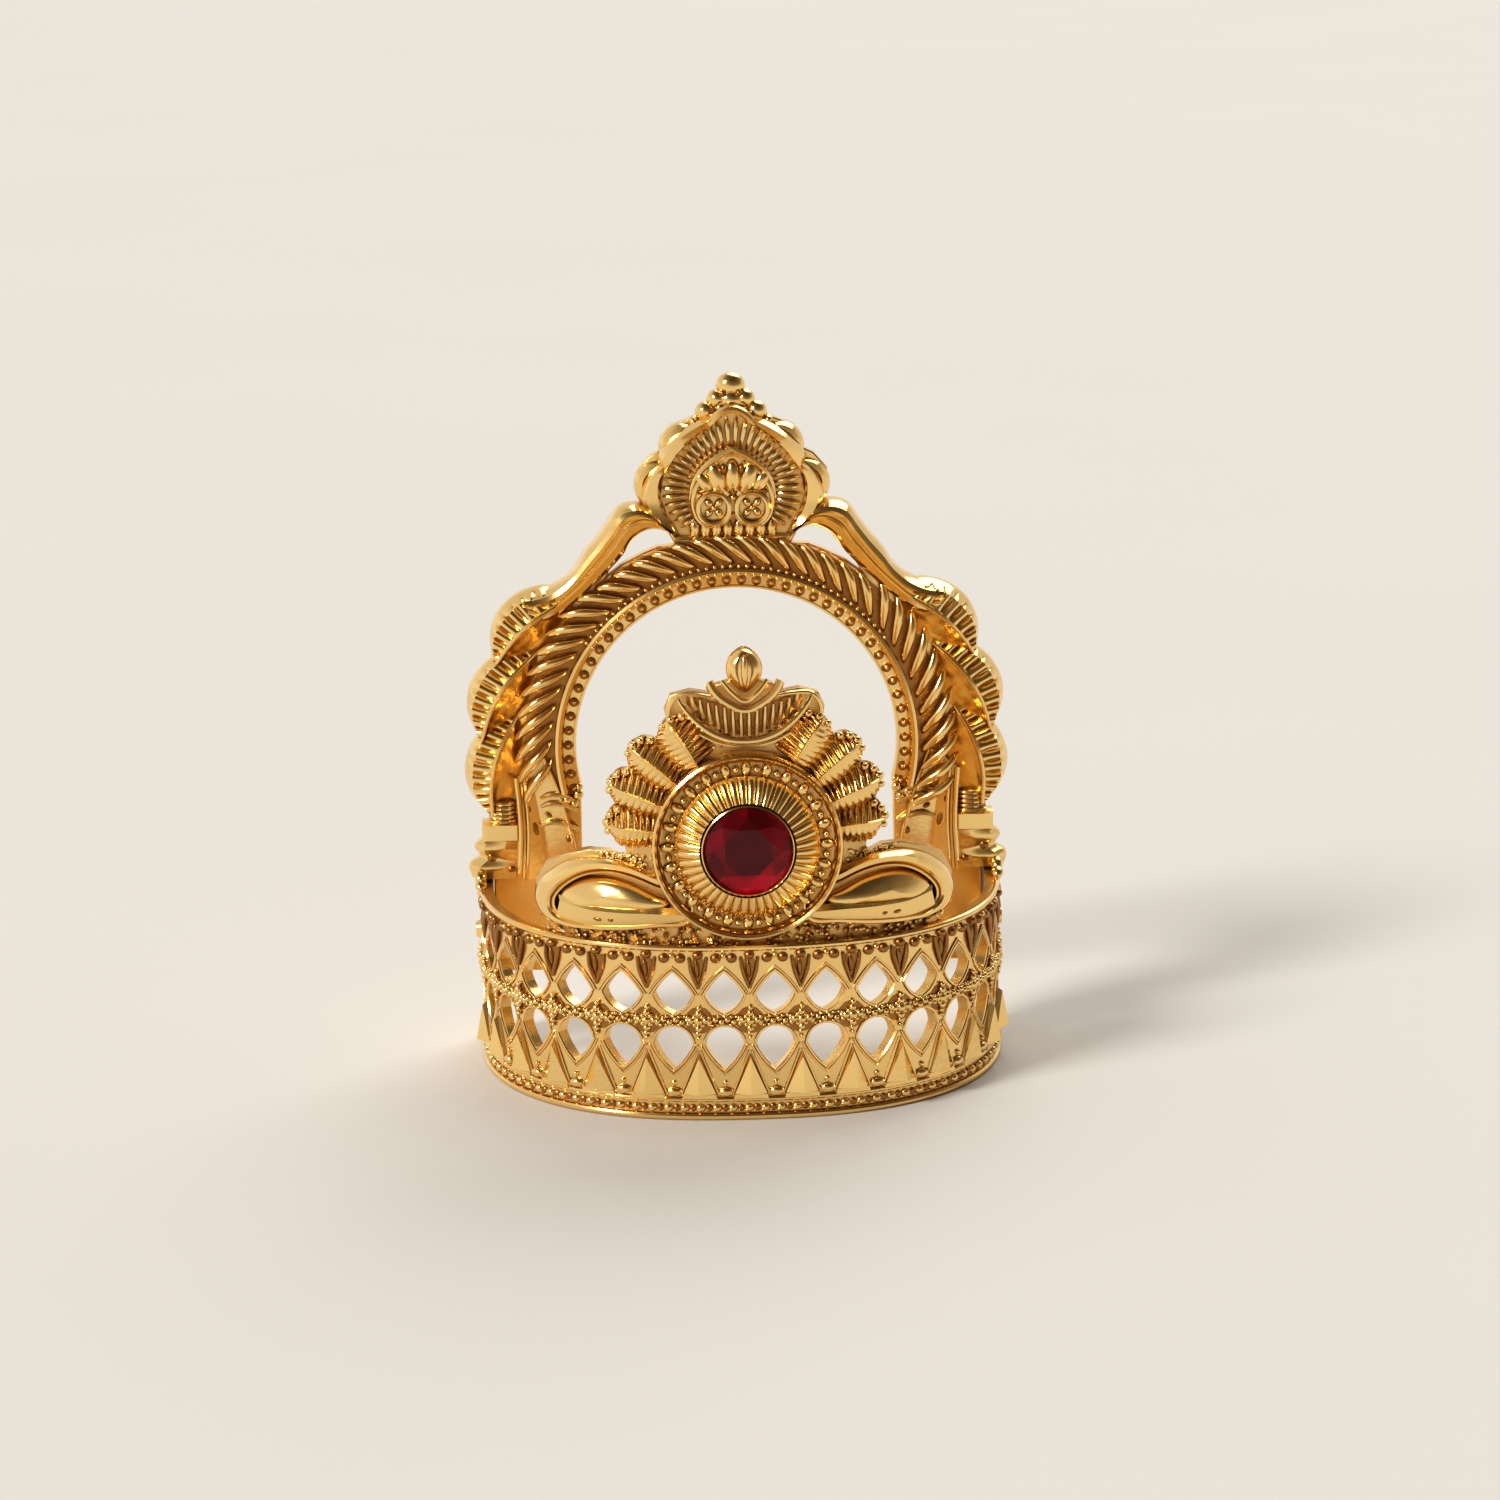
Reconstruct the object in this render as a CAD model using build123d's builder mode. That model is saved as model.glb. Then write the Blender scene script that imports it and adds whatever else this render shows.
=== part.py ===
from build123d import *
import os
from collections import namedtuple
from math import acos, asin, atan2, cos, degrees, pi, radians, sin, sqrt

# A small gilt brass mukut: a pierced half-round band, a tall arch standing on the
# band's two ends, a crest of leaves and loops at the front, and on it a round
# medallion with a red stone. Millimetres. Z is up and the front faces -Y. The origin
# is the centre of the band's circle, on the surface that the crown stands on.

# Band
ring_radius = 25.3
band_height = 17.0
band_wall = 1.1
cell_pitch = 4.75
cell_count = 16
end_length = 5.0
gap_width = 3.7
upper_gap_height = 4.1
lower_gap_height = 4.3
wire_size = 0.9
foot_proud = 0.45
line_proud = 0.3

# Gaps between castings, and the hidden rivets that hold them
clearance = 0.1
pin_size = 1.4
pin_head_size = 2.2

# Arch
arch_center_height = 30.2
opening_radius = 15.7
arch_thickness = 1.8
bead_rim_width = 2.1
rope_width = 3.1
lobe_radius = 4.7
lobe_rise = 1.7
lobe_count = 3
lobe_first_angle = 30.1
lobe_step_angle = 17.8
shoulder_width = 2.5
shoulder_radius = 4.0
shoulder_length = 9.5
shoulder_slope = 51.0
leg_foot_height = 7.6
leg_foot_width = 5.0
pediment_height = 12.0
pediment_width = 16.6
frame_width = 0.9
finial_bead = 2.8
finial_lean = 0.3
petal_rise = 0.8
frame_rise = 1.5
heart_rise = 1.1
curl_rise = 0.4
bead_rim_rise = 1.3

# Crest
crest_wall = 1.2
crest_lap = 2.1
medallion_height = 27.2
medallion_radius = 8.7
leaf_reach = 5.0
leaf_width = 4.2
leaf_rise = 1.3
leaf_count = 4
leaf_first_angle = 64.0
leaf_step_angle = 18.0
loop_place = 15.0
loop_height = 22.2
loop_radius = 4.1
loop_strip = 1.3
loop_rise = 1.2
bud_height = 4.2
bud_width = 2.9
bud_rings = 6
bud_sides = 12

# Medallion and stone
medallion_thickness = 2.0
flute_count = 40
grain_count = 24
grain_size = 0.8
stone_radius = 4.1
stone_crown = 0.95
stone_pavilion = 1.6
stone_facets = 8

cell_angle = degrees(cell_pitch / ring_radius)
gapped_angle = cell_angle * cell_count / 2
end_angle = gapped_angle + degrees(end_length / ring_radius)
band_inner = ring_radius - band_wall
relief_sink = 0.2

# Heights on the band, as shares of its height
line_height = 0.572 * band_height
upper_gap_place = 0.728 * band_height
lower_gap_place = 0.440 * band_height
dome_place = 0.925 * band_height
foot_height = 0.115 * band_height
spike_base = 0.165 * band_height
spike_length = 0.245 * band_height
drop_base = 0.925 * band_height
drop_length = 0.185 * band_height

sides = (-1, 1)


def wall_plane(angle, radius, height):
    """Plane on the round wall, angle degrees from the front: x along it, y up, z out."""
    turn = radians(angle)
    out = (sin(turn), -cos(turn), 0)
    along = (cos(turn), sin(turn), 0)
    return Plane(
        origin=(radius * out[0], radius * out[1], height), x_dir=along, z_dir=out
    )


def at(plane, roll=0):
    """The place of a plane, turned by roll degrees about its own normal."""
    return Location(plane) * Location((0, 0, 0), (0, 0, roll))


def ridge(width, length, rise, peak):
    """A four-sided raised spike: foot at the origin, tip along Y, highest at a share of it."""
    foot = [(-width / 2, 0, 0), (width / 2, 0, 0), (0, length, 0)]
    return ConvexPolyhedron(foot + [(0, peak * length, rise)], mode=Mode.PRIVATE)


def leaf(width, length, rise):
    """A folded leaf: root at the origin, tip along Y, widest past the middle."""
    widest = 0.62 * length
    outline = [
        (0, 0, 0),
        (-width / 2, widest, 0),
        (-0.28 * width, 0.9 * length, 0),
        (0, length, 0),
        (0.28 * width, 0.9 * length, 0),
        (width / 2, widest, 0),
    ]
    spine = [(0, 0.25 * length, 0.5 * rise), (0, 0.75 * length, rise)]
    return ConvexPolyhedron(outline + spine, mode=Mode.PRIVATE)


def oval(width, length):
    """A bud of small flat faces, upright, with its middle at the origin."""
    points = [(0, 0, -length / 2), (0, 0, length / 2)]
    for ring in range(1, bud_rings + 1):
        tilt = pi * ring / (bud_rings + 1)
        for side in range(bud_sides):
            around = 2 * pi * side / bud_sides
            reach = width / 2 * sin(tilt)
            points.append((reach * cos(around), reach * sin(around), length / 2 * cos(tilt)))
    return ConvexPolyhedron(points, mode=Mode.PRIVATE)


def drop_outline(big, big_radius, small, small_radius):
    """Two rounds and the flat-sided stretch between them, as a sketch in front view."""
    run_x = small[0] - big[0]
    run_z = small[1] - big[1]
    distance = sqrt(run_x**2 + run_z**2)
    lean = degrees(acos((big_radius - small_radius) / distance))
    heading = degrees(atan2(run_z, run_x))
    touches = []
    for center, radius, signs in ((big, big_radius, (1, -1)), (small, small_radius, (-1, 1))):
        for sign in signs:
            angle = radians(heading + sign * lean)
            touches.append((center[0] + radius * cos(angle), center[1] + radius * sin(angle)))
    with BuildSketch(mode=Mode.PRIVATE) as made:
        with Locations(big):
            Circle(big_radius)
        with Locations(small):
            Circle(small_radius)
        Polygon(*touches, align=None)
    return made.sketch


def curved(front_view, inner, outer):
    """A front view pushed on to the round wall between two radii."""
    with BuildPart(mode=Mode.PRIVATE) as made:
        extrude(front_view, amount=2 * ring_radius)
        Cylinder(outer, 4 * band_height + 2 * arch_center_height, mode=Mode.INTERSECT)
        Cylinder(inner, 5 * band_height + 2 * arch_center_height, mode=Mode.SUBTRACT)
    return made.part


# Band: one half-round wall with a wire on top, a granulated line and a foot moulding,
# pierced by two rows of gaps, with raised spikes between them.
cell_middles = [(i + 0.5 - cell_count / 2) * cell_angle for i in range(cell_count)]
cell_joints = [(i - cell_count / 2) * cell_angle for i in range(cell_count + 1)]
profile_plane = Plane(
    origin=(0, 0, 0),
    x_dir=(-sin(radians(end_angle)), -cos(radians(end_angle)), 0),
    z_dir=(-cos(radians(end_angle)), sin(radians(end_angle)), 0),
)
spike = ridge(0.74 * cell_pitch, spike_length, 1.1, 0.12)
drop = ridge(0.36 * cell_pitch, drop_length, 0.7, 0.3)
rivet_angle = 90.0
rivet_height = 0.7 * band_height
crest_rivet_angle = 2.5 * cell_angle
dome_radius = 0.62
dome_shift = degrees(0.75 / ring_radius)
dome_angles = [a + s * dome_shift for a in cell_middles for s in sides]
crest_pins = [s * (crest_rivet_angle + dome_shift) for s in sides]

with BuildPart() as band:
    with BuildSketch(profile_plane):
        with Locations((ring_radius - band_wall / 2, band_height / 2)):
            Rectangle(band_wall, band_height)
        with Locations((ring_radius, foot_height / 2)):
            RectangleRounded(2 * foot_proud, foot_height, 0.8 * foot_proud)
        with Locations((ring_radius, line_height)):
            Rectangle(2 * line_proud, 0.055 * band_height)
        with Locations((ring_radius - 0.2 * wire_size, band_height - wire_size / 2)):
            Circle(wire_size / 2)
    revolve(axis=Axis.Z, revolution_arc=2 * end_angle)
    with BuildSketch(*[wall_plane(a, band_inner / 2, upper_gap_place) for a in cell_middles]):
        with BuildLine():
            top = (0, upper_gap_height / 2)
            right = (gap_width / 2, -0.04 * upper_gap_height)
            bottom = (0, -upper_gap_height / 2)
            SagittaArc(top, right, 0.05 * gap_width)
            SagittaArc(right, bottom, 0.1 * gap_width)
            SagittaArc(bottom, (-right[0], right[1]), 0.1 * gap_width)
            SagittaArc((-right[0], right[1]), top, 0.05 * gap_width)
        make_face()
    extrude(amount=ring_radius, mode=Mode.SUBTRACT)
    with BuildSketch(*[wall_plane(a, band_inner / 2, lower_gap_place) for a in cell_middles]):
        with BuildLine():
            top = (0, lower_gap_height / 2)
            right = (gap_width / 2, 0.1 * lower_gap_height)
            bottom = (0, -lower_gap_height / 2)
            SagittaArc(top, right, 0.14 * gap_width)
            SagittaArc(right, bottom, 0.05 * gap_width)
            SagittaArc(bottom, (-right[0], right[1]), 0.05 * gap_width)
            SagittaArc((-right[0], right[1]), top, 0.14 * gap_width)
        make_face()
    extrude(amount=ring_radius, mode=Mode.SUBTRACT)
    for angle in cell_joints:
        with Locations(at(wall_plane(angle, ring_radius - relief_sink, spike_base))):
            add(spike)
        with Locations(at(wall_plane(angle, ring_radius - relief_sink, drop_base), 180)):
            add(drop)
    with Locations(*[at(wall_plane(a, ring_radius - relief_sink, line_height)) for a in cell_joints]):
        Cylinder(0.23 * cell_pitch, 2 * (relief_sink + line_proud))
    with Locations(
        *[
            at(wall_plane(a, ring_radius - relief_sink, dome_place))
            for a in dome_angles
            if min(abs(a - pin) for pin in crest_pins) > dome_shift / 2
        ]
    ):
        Cone(dome_radius, 0.5 * dome_radius, 2 * dome_radius)
    with Locations(*[at(wall_plane(s * rivet_angle, ring_radius, rivet_height)) for s in sides]):
        Cylinder(pin_size / 2 + clearance, 4 * band_wall, mode=Mode.SUBTRACT)
    with Locations(*[at(wall_plane(a, ring_radius, dome_place)) for a in crest_pins]):
        Cylinder(dome_radius / 2 + clearance, 4 * band_wall, mode=Mode.SUBTRACT)
band.part.label = "band"

# Arch: a plate with an open round middle. Its outline is made of the rope ring, the
# lobes, the shoulders, the pediment and the two legs, and its relief stands forward.
rim_radius = opening_radius + bead_rim_width
rope_outer = rim_radius + rope_width
lobe_ring = rope_outer + 0.25 * lobe_radius
dish_ring = lobe_ring - 0.35 * lobe_radius
lobe_angles = [lobe_first_angle - i * lobe_step_angle for i in range(lobe_count)]
lobe_places = [
    (s * lobe_ring * cos(radians(a)), arch_center_height + lobe_ring * sin(radians(a)))
    for s in sides
    for a in lobe_angles
]
front_depth = arch_thickness / 2
front_plane = Plane.XZ.offset(front_depth)
leg_outer = band_inner - clearance
leg_over_rim = ring_radius
leg_inner = 0.97 * opening_radius
leg_top = arch_center_height - sqrt(opening_radius**2 - leg_inner**2)
leg_seat = band_height + clearance
rope_end_angle = degrees(asin((leg_top - arch_center_height) / rope_outer)) - 6

pediment_base = arch_center_height + rope_outer
shoulder_bend = (0.47 * pediment_width, pediment_base - 0.12 * pediment_height)
# Rounds of the pediment: across and radius are shares of its width, up of its height
Round = namedtuple("Round", "across up radius")
petal_table = (
    Round(across=0.40, up=0.46, radius=0.145),
    Round(across=0.26, up=0.76, radius=0.133),
)
scallop_table = (
    Round(across=0.31, up=0.31, radius=0.185),
    Round(across=0.19, up=0.67, radius=0.175),
    Round(across=0.0, up=0.83, radius=0.125),
)
# Beads of the finial: every value is a share of the top bead's size
finial_table = (
    Round(across=0.92, up=0.0, radius=0.43),
    Round(across=0.38, up=0.42, radius=0.37),
    Round(across=0.0, up=0.98, radius=0.5),
)


def pediment_places(table):
    """Centre and radius of each round of a table, on both sides."""
    rounds = []
    for row in table:
        for side in sides:
            across = side * row.across * pediment_width
            rounds.append(((across, pediment_base + row.up * pediment_height), row.radius * pediment_width))
    return rounds


with BuildSketch(mode=Mode.PRIVATE) as frame_face:
    for center, radius in pediment_places(scallop_table):
        with Locations(center):
            Circle(radius)
    with Locations((0, pediment_base + 0.37 * pediment_height)):
        Rectangle(0.6 * pediment_width, 0.86 * pediment_height)

frame_hole = offset(frame_face.sketch, amount=-frame_width, mode=Mode.PRIVATE)

with BuildSketch(mode=Mode.PRIVATE) as shoulder_face:
    for side in sides:
        bend = (side * shoulder_bend[0], shoulder_bend[1])
        slope = radians(shoulder_slope)
        out = (side * sin(slope), cos(slope))
        down = (side * cos(slope), -sin(slope))
        with Locations(bend):
            Circle(shoulder_radius + shoulder_width / 2)
            Circle(shoulder_radius - shoulder_width / 2, mode=Mode.SUBTRACT)
        with Locations((bend[0], bend[1] - shoulder_radius)):
            Rectangle(4 * shoulder_radius, 2 * shoulder_radius, mode=Mode.SUBTRACT)
        with Locations((bend[0] - side * 1.3 * shoulder_radius, bend[1])):
            Rectangle(2 * shoulder_radius, 4 * shoulder_radius, mode=Mode.SUBTRACT)
        near = shoulder_radius - shoulder_width / 2
        far = shoulder_radius + shoulder_width / 2
        corners = []
        for reach, run in ((near, -0.3), (far, -0.3), (far, shoulder_length), (near, shoulder_length)):
            corners.append(
                (
                    bend[0] + reach * out[0] + run * down[0],
                    bend[1] + reach * out[1] + run * down[1],
                )
            )
        Polygon(*corners, align=None)

with BuildSketch(mode=Mode.PRIVATE) as web_face:
    for side in sides:
        slope = radians(shoulder_slope)
        near = shoulder_radius - shoulder_width / 2
        corners = []
        for run in (0.22 * shoulder_length, shoulder_length):
            across = shoulder_bend[0] + near * sin(slope) + run * cos(slope)
            up = shoulder_bend[1] + near * cos(slope) - run * sin(slope)
            heading = atan2(up - arch_center_height, across)
            ring = rope_outer - 0.3 * rope_width
            foot = (side * ring * cos(heading), arch_center_height + ring * sin(heading))
            corners.append(((side * across, up), foot))
        Polygon(corners[0][0], corners[1][0], corners[1][1], corners[0][1], align=None)

head_place = (0, pediment_base + 0.35 * pediment_height)
head_radius = 0.225 * pediment_width
head_tip = (0, pediment_base + 0.66 * pediment_height)
curl_radius = 0.088 * pediment_width
curl_places = [(s * 1.25 * curl_radius, pediment_base + 0.23 * pediment_height) for s in sides]
finial_base = pediment_base + 0.985 * pediment_height

with BuildPart() as arch:
    with BuildSketch(Plane.XZ):
        with Locations((0, arch_center_height)):
            Circle(rope_outer)
        with Locations(*lobe_places):
            Circle(lobe_radius)
        add(frame_face.sketch)
        add(shoulder_face.sketch)
        add(web_face.sketch)
        for center, radius in pediment_places(petal_table):
            with Locations(center):
                Circle(radius)
        for side in sides:
            with BuildLine():
                Polyline(
                    (side * leg_inner, arch_center_height),
                    (side * (rope_outer + 0.6 * lobe_radius), arch_center_height),
                    (side * leg_outer, leg_top - 0.5 * lobe_radius),
                    (side * leg_over_rim, leg_seat + 0.8 * lobe_radius),
                    (side * leg_over_rim, leg_seat),
                    (side * leg_outer, leg_seat),
                    (side * leg_outer, leg_foot_height),
                    (side * (leg_outer - leg_foot_width), leg_foot_height),
                    (side * leg_inner, leg_seat + clearance),
                    close=True,
                )
            make_face()
        with Locations((0, arch_center_height)):
            Circle(opening_radius + bead_rim_width / 2, mode=Mode.SUBTRACT)
        with Locations((0, 0)):
            Rectangle(2 * leg_inner, 2 * leg_top, mode=Mode.SUBTRACT)
    extrude(amount=front_depth, both=True)
    for across, up in lobe_places:
        with Locations(Location((across, -front_depth, up), (90, 0, 0))):
            Cone(
                lobe_radius,
                lobe_radius - lobe_rise,
                lobe_rise,
                align=(Align.CENTER, Align.CENTER, Align.MIN),
            )
    for across, up in lobe_places:
        inward = dish_ring / lobe_ring
        dish_up = arch_center_height + inward * (up - arch_center_height)
        with Locations(Location((inward * across, -front_depth - lobe_rise, dish_up), (-90, 0, 0))):
            Cone(
                lobe_radius - 1.15 * lobe_rise,
                0.3 * lobe_radius,
                0.8 * lobe_rise,
                align=(Align.CENTER, Align.CENTER, Align.MIN),
                mode=Mode.SUBTRACT,
            )
    with BuildSketch(front_plane):
        with Locations((0, arch_center_height)):
            Circle(rope_outer)
    extrude(amount=2 * lobe_rise, mode=Mode.SUBTRACT)
    ring_plane = Plane(
        origin=(0, 0, arch_center_height),
        x_dir=(cos(radians(rope_end_angle)), 0, sin(radians(rope_end_angle))),
        z_dir=(sin(radians(rope_end_angle)), 0, -cos(radians(rope_end_angle))),
    )
    with BuildSketch(ring_plane):
        with BuildLine():
            Polyline(
                (opening_radius, -front_depth),
                (opening_radius, front_depth),
                (rim_radius - 0.25 * bead_rim_width, front_depth + bead_rim_rise),
                (rim_radius, front_depth + bead_rim_rise),
                (rim_radius, -front_depth),
                close=True,
            )
        make_face()
        with Locations((rim_radius + rope_width / 2, 0.8 * front_depth)):
            Circle(rope_width / 2 - 0.1)
    revolve(
        axis=Axis((0, 0, arch_center_height), (0, -1, 0)),
        revolution_arc=180 - 2 * rope_end_angle,
    )
    with BuildSketch(front_plane):
        add(frame_face.sketch)
        add(frame_hole, mode=Mode.SUBTRACT)
        add(shoulder_face.sketch)
    extrude(amount=frame_rise)
    with BuildSketch(front_plane):
        add(drop_outline(head_place, head_radius, head_tip, 0.12 * head_radius))
    extrude(amount=heart_rise)
    with BuildSketch(front_plane.offset(heart_rise)):
        with Locations(*curl_places):
            Circle(curl_radius)
            Circle(0.6 * curl_radius, mode=Mode.SUBTRACT)
    extrude(amount=curl_rise)
    for center, radius in pediment_places(petal_table):
        with Locations(Location((center[0], -front_depth, center[1]), (90, 0, 0))):
            Cone(radius, 0.5 * radius, petal_rise, align=(Align.CENTER, Align.CENTER, Align.MIN))
    for row in finial_table:
        across = row.across * finial_bead
        up = finial_base + row.up * finial_bead
        with Locations(*[(s * across, -finial_lean, up) for s in sides]):
            Sphere(row.radius * finial_bead)
    with Locations(*[(s * 0.93 * leg_outer, -front_depth, leg_seat + 1.15 * lobe_radius) for s in sides]):
        Box(0.1 * leg_outer, 1.6, 0.7 * lobe_radius)
    with Locations(*[(s * 0.98 * leg_outer, -front_depth, leg_seat + 0.37 * lobe_radius) for s in sides]):
        Box(0.08 * leg_outer, 1.2, 0.6 * lobe_radius)
    with Locations(*[(s * leg_outer, 0, rivet_height) for s in sides]):
        Cylinder(pin_size / 2 + clearance, 4.4, rotation=(0, 90, 0), mode=Mode.SUBTRACT)
    split(bisect_by=Plane.XZ.offset(-front_depth), keep=Keep.TOP)
arch.part.label = "arch"

# Crest: a curved plate behind the top of the band's front, with leaves round the
# medallion, two loops beside it, a crescent and a bud on top.
crest_outer = band_inner - clearance
crest_inner = crest_outer - crest_wall
crest_bottom = band_height - crest_lap
leaf_angles = [leaf_first_angle - i * leaf_step_angle for i in range(leaf_count)]
loop_neck = (0.98 * medallion_radius, loop_height - 0.1 * loop_radius)
crescent_radius = 0.83 * medallion_radius
crescent_place = medallion_height + 1.93 * medallion_radius
bud_place = medallion_height + 1.8 * medallion_radius


def loop_face(inset):
    """Front view of both teardrop loops, drawn in by inset."""
    with BuildSketch(Plane.XZ, mode=Mode.PRIVATE) as made:
        for side in sides:
            add(
                drop_outline(
                    (side * loop_place, loop_height),
                    loop_radius - inset,
                    (side * loop_neck[0], loop_neck[1]),
                    0.55 * loop_radius - 0.8 * inset,
                )
            )
    return made.sketch


with BuildSketch(Plane.XZ, mode=Mode.PRIVATE) as crest_face:
    with Locations((0, medallion_height)):
        Circle(1.36 * medallion_radius)
    with Locations((0, medallion_height + 1.2 * medallion_radius)):
        Circle(0.62 * medallion_radius)
    with Locations((0, bud_place - 0.1 * medallion_radius)):
        Circle(0.38 * bud_width)
    with Locations((0, crest_bottom / 2)):
        Rectangle(4 * ring_radius, crest_bottom, mode=Mode.SUBTRACT)
    with Locations((0, (crest_bottom + loop_height) / 2)):
        Rectangle(2 * loop_place, loop_height - crest_bottom)
    add(loop_face(0.2))

with BuildSketch(Plane.XZ, mode=Mode.PRIVATE) as crescent_face:
    with Locations((0, crescent_place)):
        Circle(crescent_radius)
    with Locations((0, crescent_place + 1.33 * crescent_radius)):
        Circle(2.05 * crescent_radius, mode=Mode.SUBTRACT)

relief_bottom = band_height + clearance
crest_plate = curved(crest_face.sketch, crest_inner, crest_outer)
loops = curved(loop_face(0), crest_outer - relief_sink, crest_outer + loop_rise)
loop_hollows = curved(loop_face(loop_strip), crest_outer + 0.2, ring_radius + loop_rise)
loop_domes = curved(loop_face(1.3 * loop_strip), crest_outer - relief_sink, crest_outer + 0.7 * loop_rise)
crescent = curved(crescent_face.sketch, crest_outer - relief_sink, crest_outer + 1.2)
crest_leaf = leaf(leaf_width, leaf_reach, leaf_rise)
bud = oval(bud_width, bud_height)
side_leaf = leaf(0.32 * leaf_width, 0.4 * leaf_reach, 0.6 * leaf_rise)

with BuildPart() as crest:
    add(crest_plate)
    add(loops)
    add(loop_hollows, mode=Mode.SUBTRACT)
    add(loop_domes)
    add(crescent)
    for side in sides:
        for angle in leaf_angles:
            across = side * 1.03 * medallion_radius * cos(radians(angle))
            up = medallion_height + 1.03 * medallion_radius * sin(radians(angle))
            turn = degrees(asin(across / crest_outer))
            place = wall_plane(turn, crest_outer - 1.5 * relief_sink, up)
            with Locations(at(place, side * (angle - 90))):
                add(crest_leaf)
        with Locations(at(wall_plane(0, crest_outer - relief_sink, bud_place - 0.6), -side * 48)):
            add(side_leaf)
    with Locations((0, -crest_outer, bud_place)):
        add(bud)
    medallion_place = Location((0, -crest_outer, medallion_height), (90, 0, 0))
    with Locations(medallion_place):
        Cylinder(
            medallion_radius + clearance,
            4 * medallion_thickness,
            align=(Align.CENTER, Align.CENTER, Align.MIN),
            mode=Mode.SUBTRACT,
        )
        Cylinder(pin_size / 2 + clearance, 6 * crest_wall, mode=Mode.SUBTRACT)
    with Locations(*[at(wall_plane(a, crest_outer, dome_place)) for a in crest_pins]):
        Cylinder(dome_radius / 2 + clearance, 4 * crest_wall, mode=Mode.SUBTRACT)
crest.part.label = "crest"

# Medallion: a round boss with a double wire rim, a channel of grains, a fluted cone
# and a collar, turned about its own axis. A peened post holds it through the crest.
back_depth = crest_outer + clearance
face_depth = back_depth + medallion_thickness
girdle_depth = face_depth + 0.4
turning_plane = Plane(origin=(0, 0, medallion_height), x_dir=(0, 0, 1), z_dir=(1, 0, 0))
turning_axis = Axis((0, 0, medallion_height), (0, -1, 0))
collar_radius = stone_radius + clearance / 2
collar_wall = 0.4
channel_inner = 0.81 * medallion_radius
channel_outer = 0.9 * medallion_radius
grain_ring = 0.865 * medallion_radius
flute_outer = channel_inner - 0.1
flute_inner = collar_radius + collar_wall
head_depth = crest_inner - 0.25

with BuildPart() as medallion:
    with BuildSketch(turning_plane):
        with BuildLine():
            Polyline(
                (0, back_depth),
                (0.95 * medallion_radius, back_depth),
                (medallion_radius, back_depth + 0.3 * medallion_thickness),
                (medallion_radius, face_depth - 0.2),
                (channel_outer, face_depth - 0.2),
                (channel_outer, face_depth - 0.5),
                (channel_inner, face_depth - 0.5),
                (channel_inner, face_depth - 0.35),
                (flute_inner, face_depth + 0.3),
                (flute_inner, girdle_depth + 0.3),
                (collar_radius, girdle_depth + 0.3),
                (collar_radius, girdle_depth - clearance),
                (0, girdle_depth - stone_pavilion - clearance),
                close=True,
            )
        make_face()
        with Locations((medallion_radius - 0.3, face_depth - 0.1)):
            Circle(0.3)
        with Locations((medallion_radius - 0.72, face_depth - 0.2)):
            Circle(0.2)
        with Locations((pin_size / 4, (back_depth + head_depth) / 2)):
            Rectangle(pin_size / 2, back_depth - head_depth + relief_sink)
        with Locations((pin_head_size / 4, head_depth - 0.25)):
            Rectangle(pin_head_size / 2, 0.5)
    revolve(axis=turning_axis)
    flute = ConvexPolyhedron(
        [
            (flute_inner - 0.1, side * 0.2, depth)
            for side in sides
            for depth in (-0.6, 0.12)
        ]
        + [(flute_inner - 0.1, 0, 0.28), (flute_outer, 0, -0.5)]
        + [(flute_outer, side * 0.3, depth) for side in sides for depth in (-1.2, -0.72)],
        mode=Mode.PRIVATE,
    )
    for i in range(flute_count):
        with Locations(
            Location((0, -face_depth, medallion_height), (90, 0, 0))
            * Location((0, 0, 0.35), (0, 0, i * 360 / flute_count))
        ):
            add(flute)
    with Locations(Location((0, -face_depth + 0.35, medallion_height), (90, 0, 0))):
        with PolarLocations(grain_ring, grain_count):
            Cone(grain_size / 2, grain_size / 4, grain_size)
medallion.part.label = "medallion"

# Stone: a round brilliant with an octagonal table, held by the collar.
turn_step = 360 / stone_facets


def cut_ring(count, radius, depth, start=0.0):
    """Corners of one ring of facets of the stone."""
    ring = []
    for i in range(count):
        angle = radians(start + i * 360 / count)
        ring.append((radius * cos(angle), -depth, medallion_height + radius * sin(angle)))
    return ring


table_ring = cut_ring(stone_facets, 0.56 * stone_radius, girdle_depth + stone_crown)
star_ring = cut_ring(
    stone_facets, 0.83 * stone_radius, girdle_depth + 0.6 * stone_crown, turn_step / 2
)
girdle_rings = cut_ring(2 * stone_facets, stone_radius, girdle_depth) + cut_ring(
    2 * stone_facets, stone_radius, girdle_depth + 0.12
)
pavilion_ring = cut_ring(
    stone_facets, 0.5 * stone_radius, girdle_depth - 0.56 * stone_pavilion, turn_step / 2
)
culet_ring = cut_ring(stone_facets, 0.05 * stone_radius, girdle_depth - stone_pavilion)

with BuildPart() as stone:
    ConvexPolyhedron(table_ring + star_ring + girdle_rings + pavilion_ring + culet_ring)
stone.part.label = "stone"

# Rivets: round pins. Two hold the arch's legs in the band's ends, and two small ones,
# whose heads look like the domes of the band, hold the crest.
leg_rivets = []
for side in sides:
    with BuildPart(wall_plane(side * rivet_angle, ring_radius, rivet_height)) as rivet:
        shank = band_wall + 1.8
        with Locations((0, 0, clearance / 2)):
            Cylinder(
                pin_size / 2, shank, align=(Align.CENTER, Align.CENTER, Align.MAX)
            )
            Cone(
                pin_head_size / 2,
                0.35 * pin_head_size,
                0.3 * pin_head_size,
                align=(Align.CENTER, Align.CENTER, Align.MIN),
            )
    leg_rivets.append(rivet)

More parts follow.
